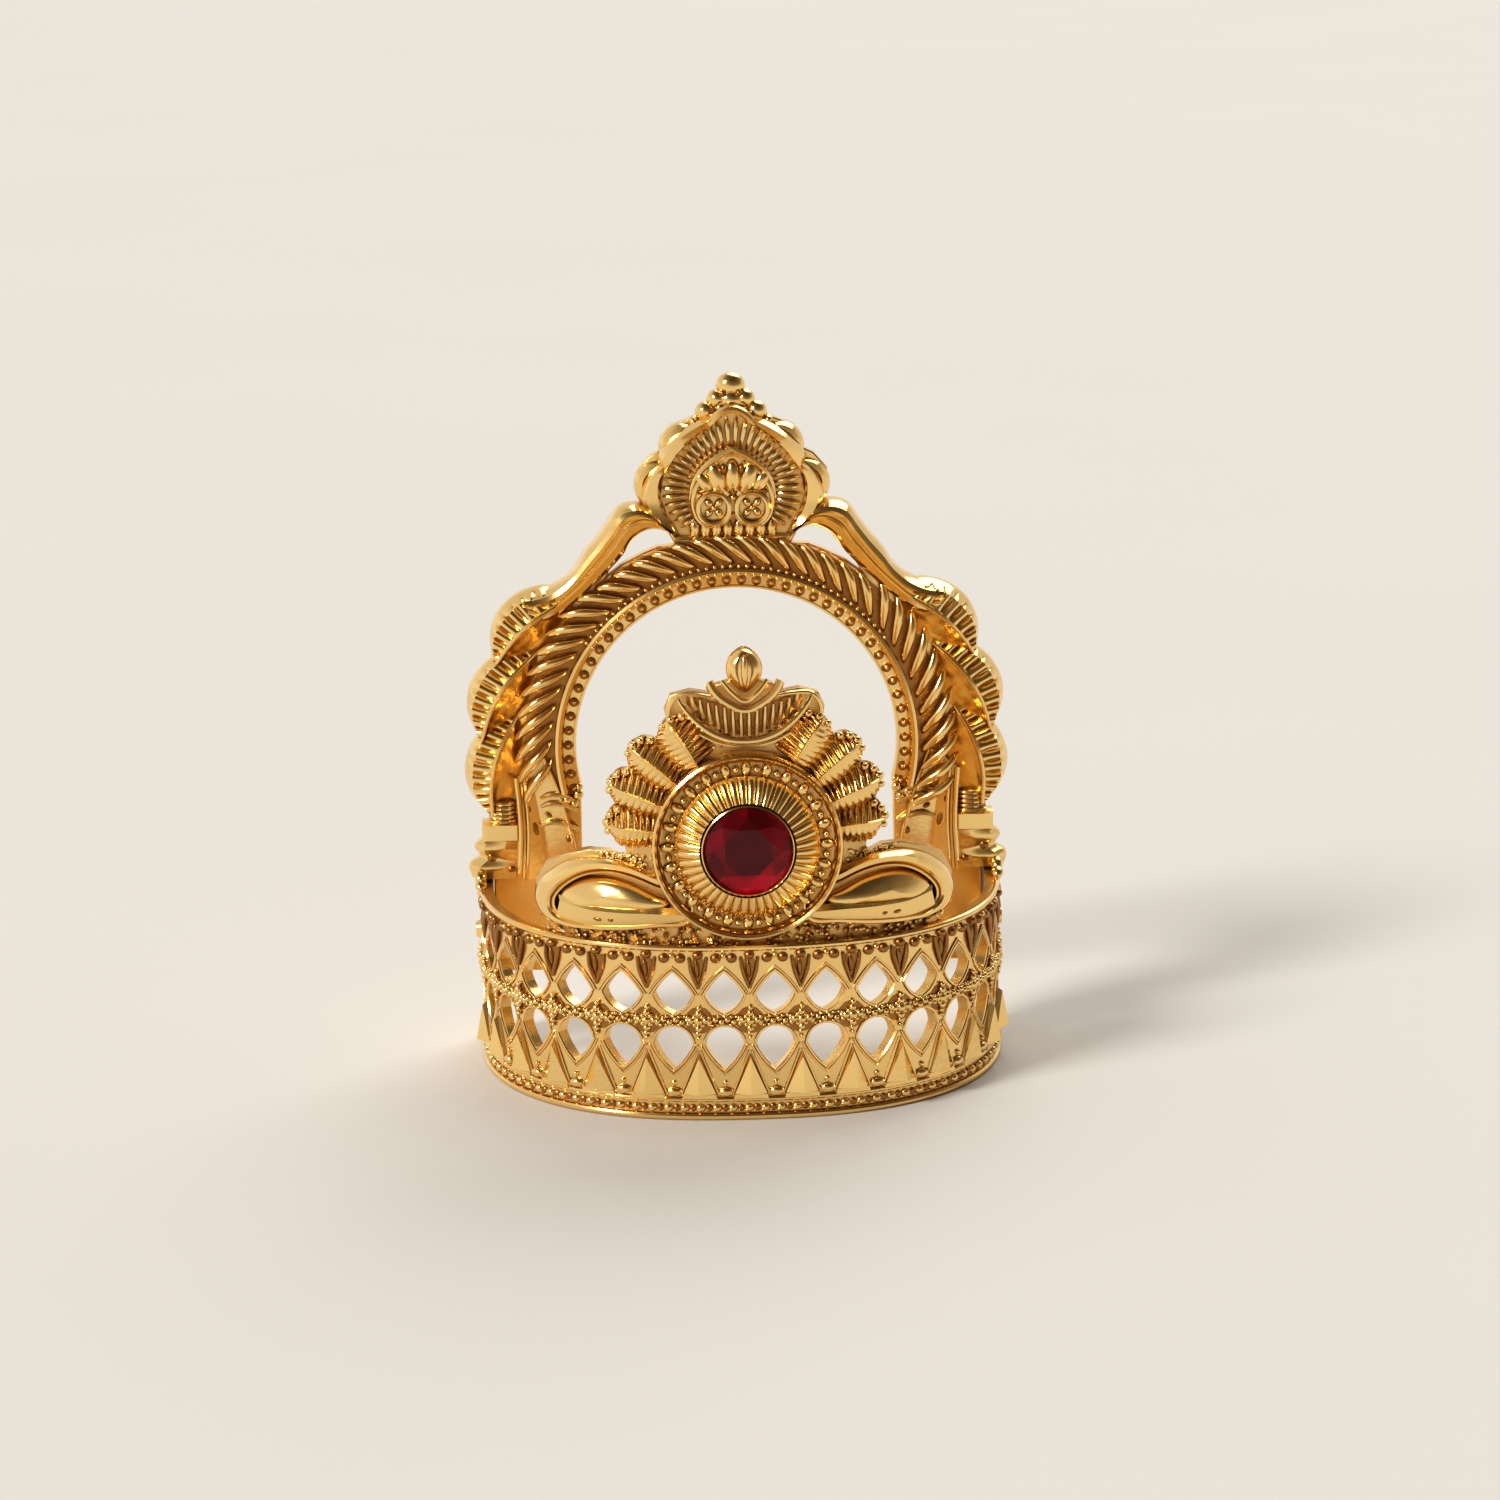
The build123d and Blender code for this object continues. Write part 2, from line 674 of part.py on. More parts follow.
crest_rivets = []
for angle in crest_pins:
    with BuildPart(wall_plane(angle, ring_radius, dome_place)) as rivet:
        shank = band_wall + clearance + 0.8 * crest_wall
        with Locations((0, 0, clearance / 2)):
            Cylinder(
                dome_radius / 2, shank, align=(Align.CENTER, Align.CENTER, Align.MAX)
            )
            Cone(
                dome_radius,
                0.6 * dome_radius,
                0.7 * dome_radius,
                align=(Align.CENTER, Align.CENTER, Align.MIN),
            )
    crest_rivets.append(rivet)

os.makedirs("parts", exist_ok=True)
export_step(band.part, "parts/band.step")
export_step(arch.part, "parts/arch.step")
export_step(crest.part, "parts/crest.step")
export_step(medallion.part, "parts/medallion.step")
export_step(stone.part, "parts/stone.step")
for side_name, leg_rivet, crest_rivet in zip(("left", "right"), leg_rivets, crest_rivets):
    leg_rivet.part.label = "arch_rivet_" + side_name
    export_step(leg_rivet.part, "parts/arch_rivet_" + side_name + ".step")
    crest_rivet.part.label = "crest_rivet_" + side_name
    export_step(crest_rivet.part, "parts/crest_rivet_" + side_name + ".step")
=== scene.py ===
from math import cos, pi, radians, sin, sqrt

import bmesh
import bpy
import numpy as np
from bpy.props import FloatProperty, FloatVectorProperty, IntProperty, PointerProperty
from mathutils import Matrix, Quaternion, Vector


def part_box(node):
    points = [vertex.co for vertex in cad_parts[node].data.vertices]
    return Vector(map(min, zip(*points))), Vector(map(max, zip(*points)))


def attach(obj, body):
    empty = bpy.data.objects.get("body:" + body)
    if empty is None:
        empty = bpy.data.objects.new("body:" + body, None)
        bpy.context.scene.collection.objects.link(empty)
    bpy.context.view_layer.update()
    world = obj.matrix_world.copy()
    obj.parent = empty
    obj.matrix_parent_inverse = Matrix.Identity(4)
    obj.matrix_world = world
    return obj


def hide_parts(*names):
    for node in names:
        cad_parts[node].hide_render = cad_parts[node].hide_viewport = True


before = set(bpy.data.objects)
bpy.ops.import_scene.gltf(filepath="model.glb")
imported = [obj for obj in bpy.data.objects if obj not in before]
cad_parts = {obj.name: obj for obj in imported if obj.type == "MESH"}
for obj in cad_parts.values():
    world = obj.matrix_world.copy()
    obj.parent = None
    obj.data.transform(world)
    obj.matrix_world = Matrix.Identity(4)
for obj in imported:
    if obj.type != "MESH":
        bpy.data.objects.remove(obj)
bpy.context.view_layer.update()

bl_info = {
    "name": "Mukut crown",
    "version": (1, 0, 0),
    "blender": (4, 5, 0),
    "location": "View3D > Sidebar > Crown",
    "description": "Builds the visible pieces of a small gilt brass mukut round its CAD frame",
    "category": "Object",
}

# Pieces are drawn flat, in millimetres, as on a jeweller's board: across, up, and out
# towards the viewer. Each is then set in its place on the crown and turned to metres.
MM = 0.001
SIDES = (-1, 1)
# The band is bent a little flatter in front than a circle, whose power is 2
PLAN_POWER = 2.4
# Gildings: the leaf's warmer tint is a painted reflection; the ground is darkened a little and the pits much
# more with painted shade
POLISH = "gilt_polished"
LEAF = "gilt_leaf_reflection"
CAST = "gilt_cast"
GROUND = "gilt_shaded_ground"
SHADED_PIT = "gilt_shaded_pit"
# How far the gilding looks for walls that shade it, how much rougher it is in a recess,
# and the depth of the casting's skin
RECESS_WIDTH = 0.0011
RECESS_ROUGHNESS = 0.22
SKIN_DEPTH = 0.00012


def length(name, description, default):
    """A size that a user can change, in metres."""
    return FloatProperty(name=name, description=description, default=default, unit="LENGTH", precision=4)


def colour(name, description, default):
    """A colour that a user can change."""
    return FloatVectorProperty(
        name=name, description=description, default=default, subtype="COLOR", min=0, max=1,
    )


def share(name, description, default):
    """A plain number from 0 to 1 that a user can change."""
    return FloatProperty(name=name, description=description, default=default, min=0.0, max=1.0)


def count(name, description, default):
    """A number of like pieces that a user can change."""
    return IntProperty(name=name, description=description, default=default, min=2)


def angle(name, description, default):
    """An angle that a user can change, given here in degrees."""
    return FloatProperty(name=name, description=description, default=radians(default), subtype="ANGLE")


class CrownBand(bpy.types.PropertyGroup):
    """Sizes of the band."""

    radius: length("Ring radius", "Radius of the band's outer face", 0.0253)
    height: length("Height", "Height of the band", 0.017)
    wall: length("Wall", "Thickness of the pierced wall", 0.0011)
    pitch: length("Pitch", "Length of one cell along the band", 0.00475)
    cells: count("Cells", "Number of cells along the band", 16)
    ends: length("Ends", "Length of each plain end", 0.005)
    gap_width: length("Gap width", "Width of one gap", 0.0037)
    upper_gap: length("Upper gap", "Height of a gap of the upper row", 0.0041)
    lower_gap: length("Lower gap", "Height of a gap of the lower row", 0.0043)


class CrownArch(bpy.types.PropertyGroup):
    """Sizes of the arch."""

    middle: length("Middle", "Height of the opening's centre", 0.0302)
    opening: length("Opening", "Radius of the opening", 0.0157)
    thickness: length("Thickness", "Thickness of the arch's plate", 0.0018)
    strands: count("Strands", "Strands of the rope round the opening", 36)
    beads: count("Beads", "Beads on the rim of the opening", 42)
    lobe_step: angle("Lobe step", "Angle between two lobes", 17.8)


class CrownCrest(bpy.types.PropertyGroup):
    """Sizes of the crest and its medallion."""

    radius: length("Plate radius", "Radius of the crest's curved front", 0.0241)
    plate: length("Plate", "Thickness of the crest's plate", 0.0012)
    middle: length("Middle", "Height of the medallion's centre", 0.0272)
    drop: length("Drop", "How far the medallion sits under the middle of its leaves", 0.0006)
    boss: length("Boss radius", "Radius of the medallion", 0.0089)
    stone: length("Stone radius", "Radius of the stone", 0.0041)
    flutes: count("Flutes", "Flutes round the stone", 44)
    grains: count("Grains", "Grains in the medallion's channel", 24)


class CrownFinish(bpy.types.PropertyGroup):
    """Colours and gloss of the gilding and the stone."""

    gold: colour("Gold", "Gilding on the ridges", (0.98, 0.69, 0.28))
    deep: colour("Deep gold", "Gilding where it is thinner", (0.95, 0.62, 0.205))
    # The leaves' warmer tint is a painted reflection of the gilding round them
    reflection_tint: colour("Amber gold", "Warmer gilding in the lobes' leaves", (0.95, 0.52, 0.1))
    # The colour that painted shade darkens the gilding towards, in the recesses and all over the shaded
    # gildings
    shadow: colour("Recess", "Tarnish in the recesses", (0.40, 0.19, 0.05))
    gloss: share("Roughness", "Roughness of the polished ridges", 0.15)
    ruby: colour("Stone", "Brightest red in the stone", (0.5, 0.0, 0.014))


class CrownStage(bpy.types.PropertyGroup):
    """Camera, floor and light."""

    distance: length("Distance", "From the camera to the crown", 0.4)
    pitch: angle("Pitch", "Camera above the level", 13.9)
    turn: angle("Turn", "Camera round the crown", -2.1)
    roll: angle("Roll", "Lean of the camera", -0.93)
    lens: FloatProperty(name="Lens", description="Focal length in millimetres", default=100.4)
    floor: colour("Floor", "Colour of the floor", (0.735, 0.722, 0.695))


def mm(value):
    """A size of the panel in millimetres."""
    return value / MM


def clear_selection():
    """Nothing is selected, so that the next operator acts on the new shape alone."""
    if bpy.context.mode != "OBJECT":
        bpy.ops.object.mode_set(mode="OBJECT")
    bpy.ops.object.select_all(action="DESELECT")


def pick(piece):
    """Selects one piece and makes it the active one."""
    clear_selection()
    piece.select_set(True)
    bpy.context.view_layer.objects.active = piece
    return piece


def shown(name, data):
    """A new object in the scene, picked."""
    piece = bpy.data.objects.new(name, data)
    bpy.context.scene.collection.objects.link(piece)
    return pick(piece)


def points_of(piece):
    """The piece's corners, as rows of three numbers."""
    found = np.empty(3 * len(piece.data.vertices))
    piece.data.vertices.foreach_get("co", found)
    return found.reshape(-1, 3)


def set_points(piece, points):
    """Moves the piece's corners."""
    piece.data.vertices.foreach_set("co", np.ascontiguousarray(points, dtype=float).ravel())
    piece.data.update()


def face_outward(piece, merge=0.0):
    """Merges doubles where asked and turns every face outwards."""
    pick(piece)
    bpy.ops.object.mode_set(mode="EDIT")
    bpy.ops.mesh.select_all(action="SELECT")
    if merge:
        bpy.ops.mesh.remove_doubles(threshold=merge)
    bpy.ops.mesh.normals_make_consistent(inside=False)
    bpy.ops.object.mode_set(mode="OBJECT")
    return piece


def joined(name, parts):
    """All parts as one piece."""
    pick(parts[0])
    for part in parts:
        part.select_set(True)
    if len(parts) > 1:
        bpy.ops.object.join()
    whole = bpy.context.view_layer.objects.active
    whole.name = whole.data.name = name
    return whole


def made_of(piece, finish):
    """Gives the piece its only material."""
    piece.data.materials.clear()
    piece.data.materials.append(bpy.data.materials[finish])
    return piece


def smooth_line(points, count, closed=False):
    """Evenly spaced points on a smooth line through the given ones."""
    knots = np.array(points, dtype=float)
    size = len(knots)
    if size == 2 and not closed:
        return knots[0] + (knots[1] - knots[0]) * np.linspace(0, 1, count)[:, None]
    if closed:
        knots = np.vstack([knots[-2:], knots, knots[:3]])
    steps = np.linalg.norm(np.diff(knots, axis=0), axis=1)
    along = np.concatenate([[0], np.cumsum(np.maximum(steps, 1e-6))])
    slopes = np.gradient(knots, along, axis=0)
    first, last = (along[2], along[size + 2]) if closed else (along[0], along[-1])
    fine = np.linspace(first, last, 24 * max(size, 4))
    near = np.clip(np.searchsorted(along, fine, side="right") - 1, 0, len(along) - 2)
    gap = (along[near + 1] - along[near])[:, None]
    t = (fine - along[near])[:, None] / gap
    bend = (
        (2 * t**3 - 3 * t**2 + 1) * knots[near]
        + (t**3 - 2 * t**2 + t) * gap * slopes[near]
        + (3 * t**2 - 2 * t**3) * knots[near + 1]
        + (t**3 - t**2) * gap * slopes[near + 1]
    )
    run = np.concatenate([[0], np.cumsum(np.linalg.norm(np.diff(bend, axis=0), axis=1))])
    even = np.linspace(0, run[-1], count)
    return np.stack([np.interp(even, run, bend[:, i]) for i in range(bend.shape[1])], axis=1)


def raised(points, *more):
    """Flat points, each with the same out, and the same thickness where it is a wire."""
    return [(*point, *more) for point in points]


def thickened(points, thicks):
    """Points of a wire, each with its own thickness."""
    return [(*point, thick) for point, thick in zip(points, thicks)]


def mirror_of(points):
    """The mirror image of a run of points, from its far end back."""
    return [(-x, *rest) for x, *rest in reversed(points)]


def on_sides(line):
    """The line on the left and on the right."""
    return [[(side * x, *rest) for x, *rest in line] for side in SIDES]


def circle(across, up, radius, number):
    """Evenly spaced points on a circle."""
    turns = np.linspace(0, 2 * pi, number, False)
    return [(across + radius * cos(a), up + radius * sin(a)) for a in turns]


def solid_under(rows, finish, low, merge=0.0):
    """A solid whose top runs through the rows of points and whose foot is flat."""
    clear_selection()
    bpy.ops.mesh.primitive_grid_add(x_subdivisions=rows.shape[1] - 1, y_subdivisions=len(rows) - 1, size=2)
    piece = bpy.context.view_layer.objects.active
    set_points(piece, rows.reshape(-1, 3))
    bpy.ops.object.mode_set(mode="EDIT")
    bpy.ops.mesh.select_all(action="SELECT")
    if merge:
        bpy.ops.mesh.remove_doubles(threshold=merge)
    bpy.ops.mesh.extrude_region()
    bpy.ops.object.mode_set(mode="OBJECT")
    moved = np.empty(len(piece.data.vertices), dtype=bool)
    piece.data.vertices.foreach_get("select", moved)
    points = points_of(piece)
    points[moved, 2] = low
    set_points(piece, points)
    return made_of(face_outward(piece), finish)


def strip(rails, finish, steps=24, per=3, low=0.0, closed=False, ribs=0, depth=0.0, fade=(1.0, 1.0)):
    """A band of metal through the rails, with ribs across it where asked, as deep as fade says."""
    lines = [smooth_line(rail, steps, closed) for rail in rails]
    rows = []
    for near, far in zip(lines, lines[1:]):
        rows += [near + (far - near) * k / per for k in range(per)]
    top = np.stack(rows + [lines[-1]])
    if ribs:
        wave = np.abs(np.sin(pi * ribs * np.linspace(0, 1, steps))) ** 0.6 - 1
        strength = np.interp(np.linspace(0, 1, len(top)), np.linspace(0, 1, len(fade)), fade)
        top[:, :, 2] += depth * strength[:, None] * wave[None, :]
    return solid_under(top, finish, low, 1e-4 if closed else 0.0)


def pillow(outline, middle, finish, rise, low=0.0, steps=40, rings=7, crown=0.9):
    """A domed shape over a closed outline."""
    edge = smooth_line(outline, steps, True)
    middle = np.array(middle, dtype=float)
    rows = []
    for ring in range(rings + 1):
        lift = radians(90 * ring / rings)
        row = middle + (edge - middle) * max(cos(lift) ** crown, 0.02)
        row[:, 2] += rise * sin(lift)
        rows.append(row)
    return solid_under(np.stack(rows), finish, low, 0.015)


def wires(lines, finish, sides=8, steps=4, closed=False):
    """Round wires through points given as across, up, out and radius."""
    curve = bpy.data.curves.new("wires", "CURVE")
    curve.dimensions = "3D"
    curve.bevel_depth = 1.0
    curve.bevel_resolution = sides // 2 - 2
    curve.resolution_u = steps
    curve.use_fill_caps = not closed
    for line in lines:
        spline = curve.splines.new("BEZIER")
        spline.bezier_points.add(len(line) - 1)
        for knot, (across, up, out, radius) in zip(spline.bezier_points, line):
            knot.co = (across, up, out)
            knot.radius = radius
            knot.handle_left_type = knot.handle_right_type = "AUTO"
        spline.use_cyclic_u = closed
    shown("wires", curve)
    bpy.ops.object.convert(target="MESH")
    return made_of(face_outward(bpy.context.view_layer.objects.active, 1e-4), finish)


def cut_plate(outlines, finish, low, high, chamfer=0.12):
    """A flat plate with square or chamfered edges; inner outlines are cut through."""
    curve = bpy.data.curves.new("plate", "CURVE")
    curve.dimensions = "2D"
    curve.fill_mode = "BOTH"
    curve.extrude = (high - low) / 2 - chamfer
    curve.bevel_depth = chamfer
    curve.bevel_resolution = 0
    curve.offset = -chamfer
    for outline in outlines:
        spline = curve.splines.new("POLY")
        spline.points.add(len(outline) - 1)
        for knot, point in zip(spline.points, outline):
            knot.co = (point[0], point[1], 0, 1)
        spline.use_cyclic_u = True
    shown("plate", curve)
    bpy.ops.object.convert(target="MESH")
    piece = face_outward(bpy.context.view_layer.objects.active, 1e-4)
    set_points(piece, points_of(piece) + (0, 0, (high + low) / 2))
    return made_of(piece, finish)


def slice_up(piece, cuts):
    """Divides the piece's faces at each place across, so that they can be bent."""
    pick(piece)
    bpy.ops.object.mode_set(mode="EDIT")
    for cut in cuts:
        bpy.ops.mesh.select_all(action="SELECT")
        bpy.ops.mesh.bisect(plane_co=(cut, 0, 0), plane_no=(1, 0, 0))
    bpy.ops.mesh.select_all(action="DESELECT")
    bpy.ops.object.mode_set(mode="OBJECT")


def put(across, up, out, wide, tall=None, deep=None, turn=0.0):
    """Where a copy goes, its size, which is the same all ways if only one is given, and its turn."""
    size = (wide, tall or wide, deep or wide, 1.0)
    turned = Matrix.Rotation(radians(turn), 4, "Z")
    return Matrix.Translation((across, up, out)) @ turned @ Matrix.Diagonal(size)


def spread(template, places):
    """Copies of a small shape of one finish, each with its own mesh, as one piece."""
    points = points_of(template)
    faces = [tuple(face.vertices) for face in template.data.polygons]
    corners = []
    polygons = []
    for place in places:
        turned = np.array(place)
        start = len(points) * len(corners)
        corners.append(points @ turned[:3, :3].T + turned[:3, 3])
        polygons += [tuple(index + start for index in face) for face in faces]
    mesh = bpy.data.meshes.new("spread")
    mesh.from_pydata(np.vstack(corners), [], polygons)
    mesh.materials.append(template.data.materials[0])
    bpy.data.objects.remove(template)
    return shown("spread", mesh)


def repeated(template, middles):
    """Copies of a shape side by side."""
    return spread(template, [put(x, 0, 0, 1) for x in middles])


def beads(places, finish, segments=12, rings=8):
    """Round beads at places made by put."""
    clear_selection()
    bpy.ops.mesh.primitive_uv_sphere_add(segments=segments, ring_count=rings, radius=1.0)
    return spread(made_of(bpy.context.view_layer.objects.active, finish), places)


def facets(groups, finish):
    """Flat-faced solids, each the tight skin round its own points."""
    mesh = bpy.data.meshes.new("facets")
    whole = bmesh.new()
    for group in groups:
        corners = [whole.verts.new(point) for point in group]
        bmesh.ops.convex_hull(whole, input=corners)
    loose = [corner for corner in whole.verts if not corner.link_faces]
    bmesh.ops.delete(whole, geom=loose, context="VERTS")
    whole.to_mesh(mesh)
    whole.free()
    return made_of(face_outward(shown("facets", mesh)), finish)


def spun(profile, middle, finish, start=0.0, end=360.0, steps=96):
    """A ring of metal: a closed profile of radius and out, spun round the height given."""
    turn = radians(start)
    corners = [(r * cos(turn), r * sin(turn) + middle, out) for r, out in profile]
    edges = [(i, (i + 1) % len(corners)) for i in range(len(corners))]
    mesh = bpy.data.meshes.new("spun")
    mesh.from_pydata(corners, edges, [])
    piece = shown("spun", mesh)
    bpy.ops.object.mode_set(mode="EDIT")
    bpy.ops.mesh.select_all(action="SELECT")
    bpy.ops.mesh.spin(steps=steps, angle=radians(end - start), center=(0, middle, 0), axis=(0, 0, -1))
    bpy.ops.mesh.select_all(action="SELECT")
    bpy.ops.mesh.remove_doubles(threshold=1e-4)
    if end - start < 359:
        bpy.ops.mesh.fill_holes(sides=0)
    bpy.ops.object.mode_set(mode="OBJECT")
    return made_of(face_outward(piece), finish)


def both_sides(piece):
    """Adds the mirror image on the left."""
    pick(piece)
    mirror = piece.modifiers.new("Mirror", "MIRROR")
    mirror.use_mirror_merge = False
    bpy.ops.object.modifier_apply(modifier=mirror.name)
    return piece


def stand(piece, place="flat", radius=0.0):
    """Sets a drawn piece on the crown: flat, wrapped round the band or pressed on its front."""
    across, up, out = points_of(piece).T
    if place == "wrapped":
        turn = across / radius
        powers = np.abs(np.sin(turn)) ** PLAN_POWER + np.abs(np.cos(turn)) ** PLAN_POWER
        reach = radius * powers ** (-1 / PLAN_POWER) + out
        points = np.stack([reach * np.sin(turn), -reach * np.cos(turn), up], axis=1)
    elif place == "pressed":
        share_out = np.clip(np.abs(across) / radius, 0, 0.99)
        back = radius * (1 - share_out**PLAN_POWER) ** (1 / PLAN_POWER)
        points = np.stack([across, -back - out, up], axis=1)
    else:
        points = np.stack([across, -out, up], axis=1)
    set_points(piece, MM * points)
    return piece


def finished(piece, node, angle=32.0):
    """Smooths the piece, hangs it on the crown and lets it stand for its CAD node."""
    pick(piece)
    bpy.ops.object.shade_smooth_by_angle(angle=radians(angle))
    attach(piece, "root")
    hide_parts(node)
    clear_selection()
    return piece


def new_finish(name):
    """A new material with its node tree, its shader and the place on the crown."""
    made = bpy.data.materials.new(name)
    made.use_nodes = True
    tree = made.node_tree
    where = tree.nodes.new("ShaderNodeTexCoord").outputs["Object"]
    return made, tree, tree.nodes["Principled BSDF"], where


def clouds(tree, where, scale, detail=2.0, rough=0.5):
    """Soft noise at a place."""
    made = tree.nodes.new("ShaderNodeTexNoise")
    for name, value in (("Scale", scale), ("Detail", detail), ("Roughness", rough)):
        made.inputs[name].default_value = value
    tree.links.new(where, made.inputs["Vector"])
    return made.outputs["Fac"]


def mixed(tree, factor, first, second):
    """A mix of two colours, the second of which may come from another node."""
    made = tree.nodes.new("ShaderNodeMix")
    made.data_type = "RGBA"
    made.inputs["A"].default_value = (*first, 1)
    tree.links.new(factor, made.inputs["Factor"])
    if isinstance(second, bpy.types.NodeSocket):
        tree.links.new(second, made.inputs["B"])
    else:
        made.inputs["B"].default_value = (*second, 1)
    return made.outputs["Result"]


def part_way(first, second, amount):
    """The colour that lies the given share of the way from the first to the second."""
    return [a + amount * (b - a) for a, b in zip(first, second)]


def gilding(name, finish, roughness, bump, grain, recess_shade, shade_all_over=0.0, tint=None):
    """Gold plating: darker with painted shade and rougher in the recesses, uneven in tone, with the casting's
    skin.
    """
    made, tree, shader, where = new_finish(name)
    link = tree.links.new
    gold = tint or finish.gold
    deep = tint or finish.deep
    shader.inputs["Metallic"].default_value = 1.0
    open_sky = tree.nodes.new("ShaderNodeAmbientOcclusion")
    open_sky.samples = 8
    open_sky.inputs["Distance"].default_value = RECESS_WIDTH
    opened = tree.nodes.new("ShaderNodeValToRGB")
    opened.color_ramp.elements[0].position = 0.08
    opened.color_ramp.elements[1].position = 0.7
    link(open_sky.outputs["AO"], opened.inputs["Fac"])
    # Painted shade: the whole tone is pulled towards the shade colour by one share, and where the occlusion
    # finds a recess the colour is painted darker still, by its own share
    deep_tone = part_way(deep, finish.shadow, shade_all_over)
    gold_tone = part_way(gold, finish.shadow, shade_all_over)
    tone = mixed(tree, clouds(tree, where, 150.0, 2.0, 0.55), deep_tone, gold_tone)
    recess_shaded = mixed(tree, opened.outputs["Color"], part_way(deep, finish.shadow, recess_shade), tone)
    link(recess_shaded, shader.inputs["Base Color"])
    dull = tree.nodes.new("ShaderNodeMapRange")
    dull.inputs["To Min"].default_value = roughness + RECESS_ROUGHNESS
    dull.inputs["To Max"].default_value = roughness
    link(opened.outputs["Color"], dull.inputs["Value"])
    link(dull.outputs["Result"], shader.inputs["Roughness"])
    relief = tree.nodes.new("ShaderNodeBump")
    relief.inputs["Strength"].default_value = bump
    relief.inputs["Distance"].default_value = SKIN_DEPTH
    link(clouds(tree, where, grain, 4.0, 0.6), relief.inputs["Height"])
    link(relief.outputs["Normal"], shader.inputs["Normal"])
    return made


def ruby_glass(name, finish):
    """Deep red cut glass: each facet is painted its own red, brighter on the lower right facets as a painted
    flash of light, with slight clouds inside.
    """
    made, tree, shader, where = new_finish(name)
    facet = tree.nodes.new("ShaderNodeAttribute")
    facet.attribute_name = "depth"
    depth = tree.nodes.new("ShaderNodeMath")
    depth.operation = "MULTIPLY"
    tree.links.new(facet.outputs["Fac"], depth.inputs[0])
    tree.links.new(clouds(tree, where, 500.0, 1.0), depth.inputs[1])
    tone = mixed(tree, depth.outputs["Value"], [0.07 * part for part in finish.ruby], finish.ruby)
    tree.links.new(tone, shader.inputs["Base Color"])
    shader.inputs["Roughness"].default_value = 0.04
    shader.inputs["IOR"].default_value = 1.62
    shader.inputs["Specular IOR Level"].default_value = 0.14
    return made


def cut_stone(middle, radius, culet, girdle, table, finish):
    """A brilliant: a table, eight stars, eight kites and sixteen rim facets over a pointed back."""
    corners = []

    def ring(number, reach, out, shift=0.0):
        """Corners spaced evenly round the stone."""
        for i in range(number):
            a = 2 * pi * (i + shift) / number
            corners.append((reach * radius * cos(a), middle + reach * radius * sin(a), out))
        return list(range(len(corners) - number, len(corners)))

    flat = ring(8, 0.56, table, 0.5)
    star = ring(8, 0.8, girdle + 0.593 * (table - girdle))
    rim = ring(16, 1.0, girdle)
    foot = ring(16, 1.0, girdle - 0.25)
    corners.append((0, middle, culet))
    faces = [flat]
    for i in range(8):
        faces += [
            (flat[i - 1], star[i], flat[i]),
            (flat[i], star[i], rim[2 * i + 1], star[(i + 1) % 8]),
            (star[i], rim[2 * i], rim[2 * i + 1]),
            (star[i], rim[2 * i - 1], rim[2 * i]),
        ]
    for i in range(16):
        after = (i + 1) % 16
        faces += [(rim[i], rim[after], foot[after], foot[i]), (foot[i], foot[after], len(corners) - 1)]
    mesh = bpy.data.meshes.new("stone_cut")
    mesh.from_pydata(corners, [], faces)
    depth = mesh.attributes.new("depth", "FLOAT", "FACE")
    # Painted flash of light: facets toward the lower right are painted brighter red, and neighbours differ a
    # little
    for i, face in enumerate(faces):
        x, y = np.mean([corners[corner][:2] for corner in face], axis=0)
        flash = max(0.0, -0.94 * (y - middle) + 0.34 * x) / radius
        depth.data[i].value = 0.1 if i == 0 else 0.1 + 2.6 * flash**2 + 0.16 * (i % 3)
    return made_of(face_outward(shown("stone_cut", mesh)), finish)


class CROWN_OT_materials(bpy.types.Operator):
    """Makes the gildings and the red glass, and dresses the CAD nodes that stay"""

    bl_idname = "crown.materials"
    bl_label = "Materials"

    def execute(self, context):
        finish = context.scene.crown_finish
        # Roughness, strength and fineness of the skin, share of painted shade in the recesses, and share of
        # painted shade all over; the leaf's warmer tint is a painted reflection
        gilding(POLISH, finish, finish.gloss, 0.08, 1400.0, 0.72)
        gilding(LEAF, finish, finish.gloss + 0.12, 0.15, 1400.0, 0.6, 0.0, finish.reflection_tint)
        gilding(CAST, finish, finish.gloss + 0.06, 0.22, 2600.0, 1.0)
        gilding(GROUND, finish, finish.gloss + 0.16, 0.5, 4200.0, 0.9, 0.28)
        gilding(SHADED_PIT, finish, finish.gloss + 0.12, 0.45, 3000.0, 1.0, 1.06)
        ruby_glass("ruby", finish)
        for side in ("left", "right"):
            made_of(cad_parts[f"arch_rivet_{side}"], CAST)
            made_of(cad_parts[f"crest_rivet_{side}"], POLISH)
        return {"FINISHED"}


# Heights on the band, as shares of its own height
SEAM = 0.572
UPPER_ROW = 0.728
LOWER_ROW = 0.412
SPIKE_FOOT = 0.142
# The top edge rises by this much over the last stretch of each end
END_RISE = 1.5
RISE_RUN = 6.0
# One spike and the plinth under it, measured from the spike's foot
SPIKE = (
    (
        (-1.62, 0, -0.1), (1.62, 0, -0.1), (0, 4.2, -0.1), (0, 0.3, 1.25), (0, 3.7, 0.6), (-1.5, 0.15, 0.22),
        (1.5, 0.15, 0.22),
    ),
    (
        (-1.9, -0.5, -0.1), (1.9, -0.5, -0.1), (1.7, 0.2, -0.1), (-1.7, 0.2, -0.1), (-1.6, -0.3, 0.35),
        (1.6, -0.3, 0.35), (1.5, 0.1, 0.3), (-1.5, 0.1, 0.3),
    ),
)
# The drop between two spikes, dark with painted shade, measured from its top
DROP_FACE = ((-0.5, -0.6), (0.5, -0.6), (-0.5, -1.3), (0.5, -1.3), (0, -3.0), (0, -0.3))
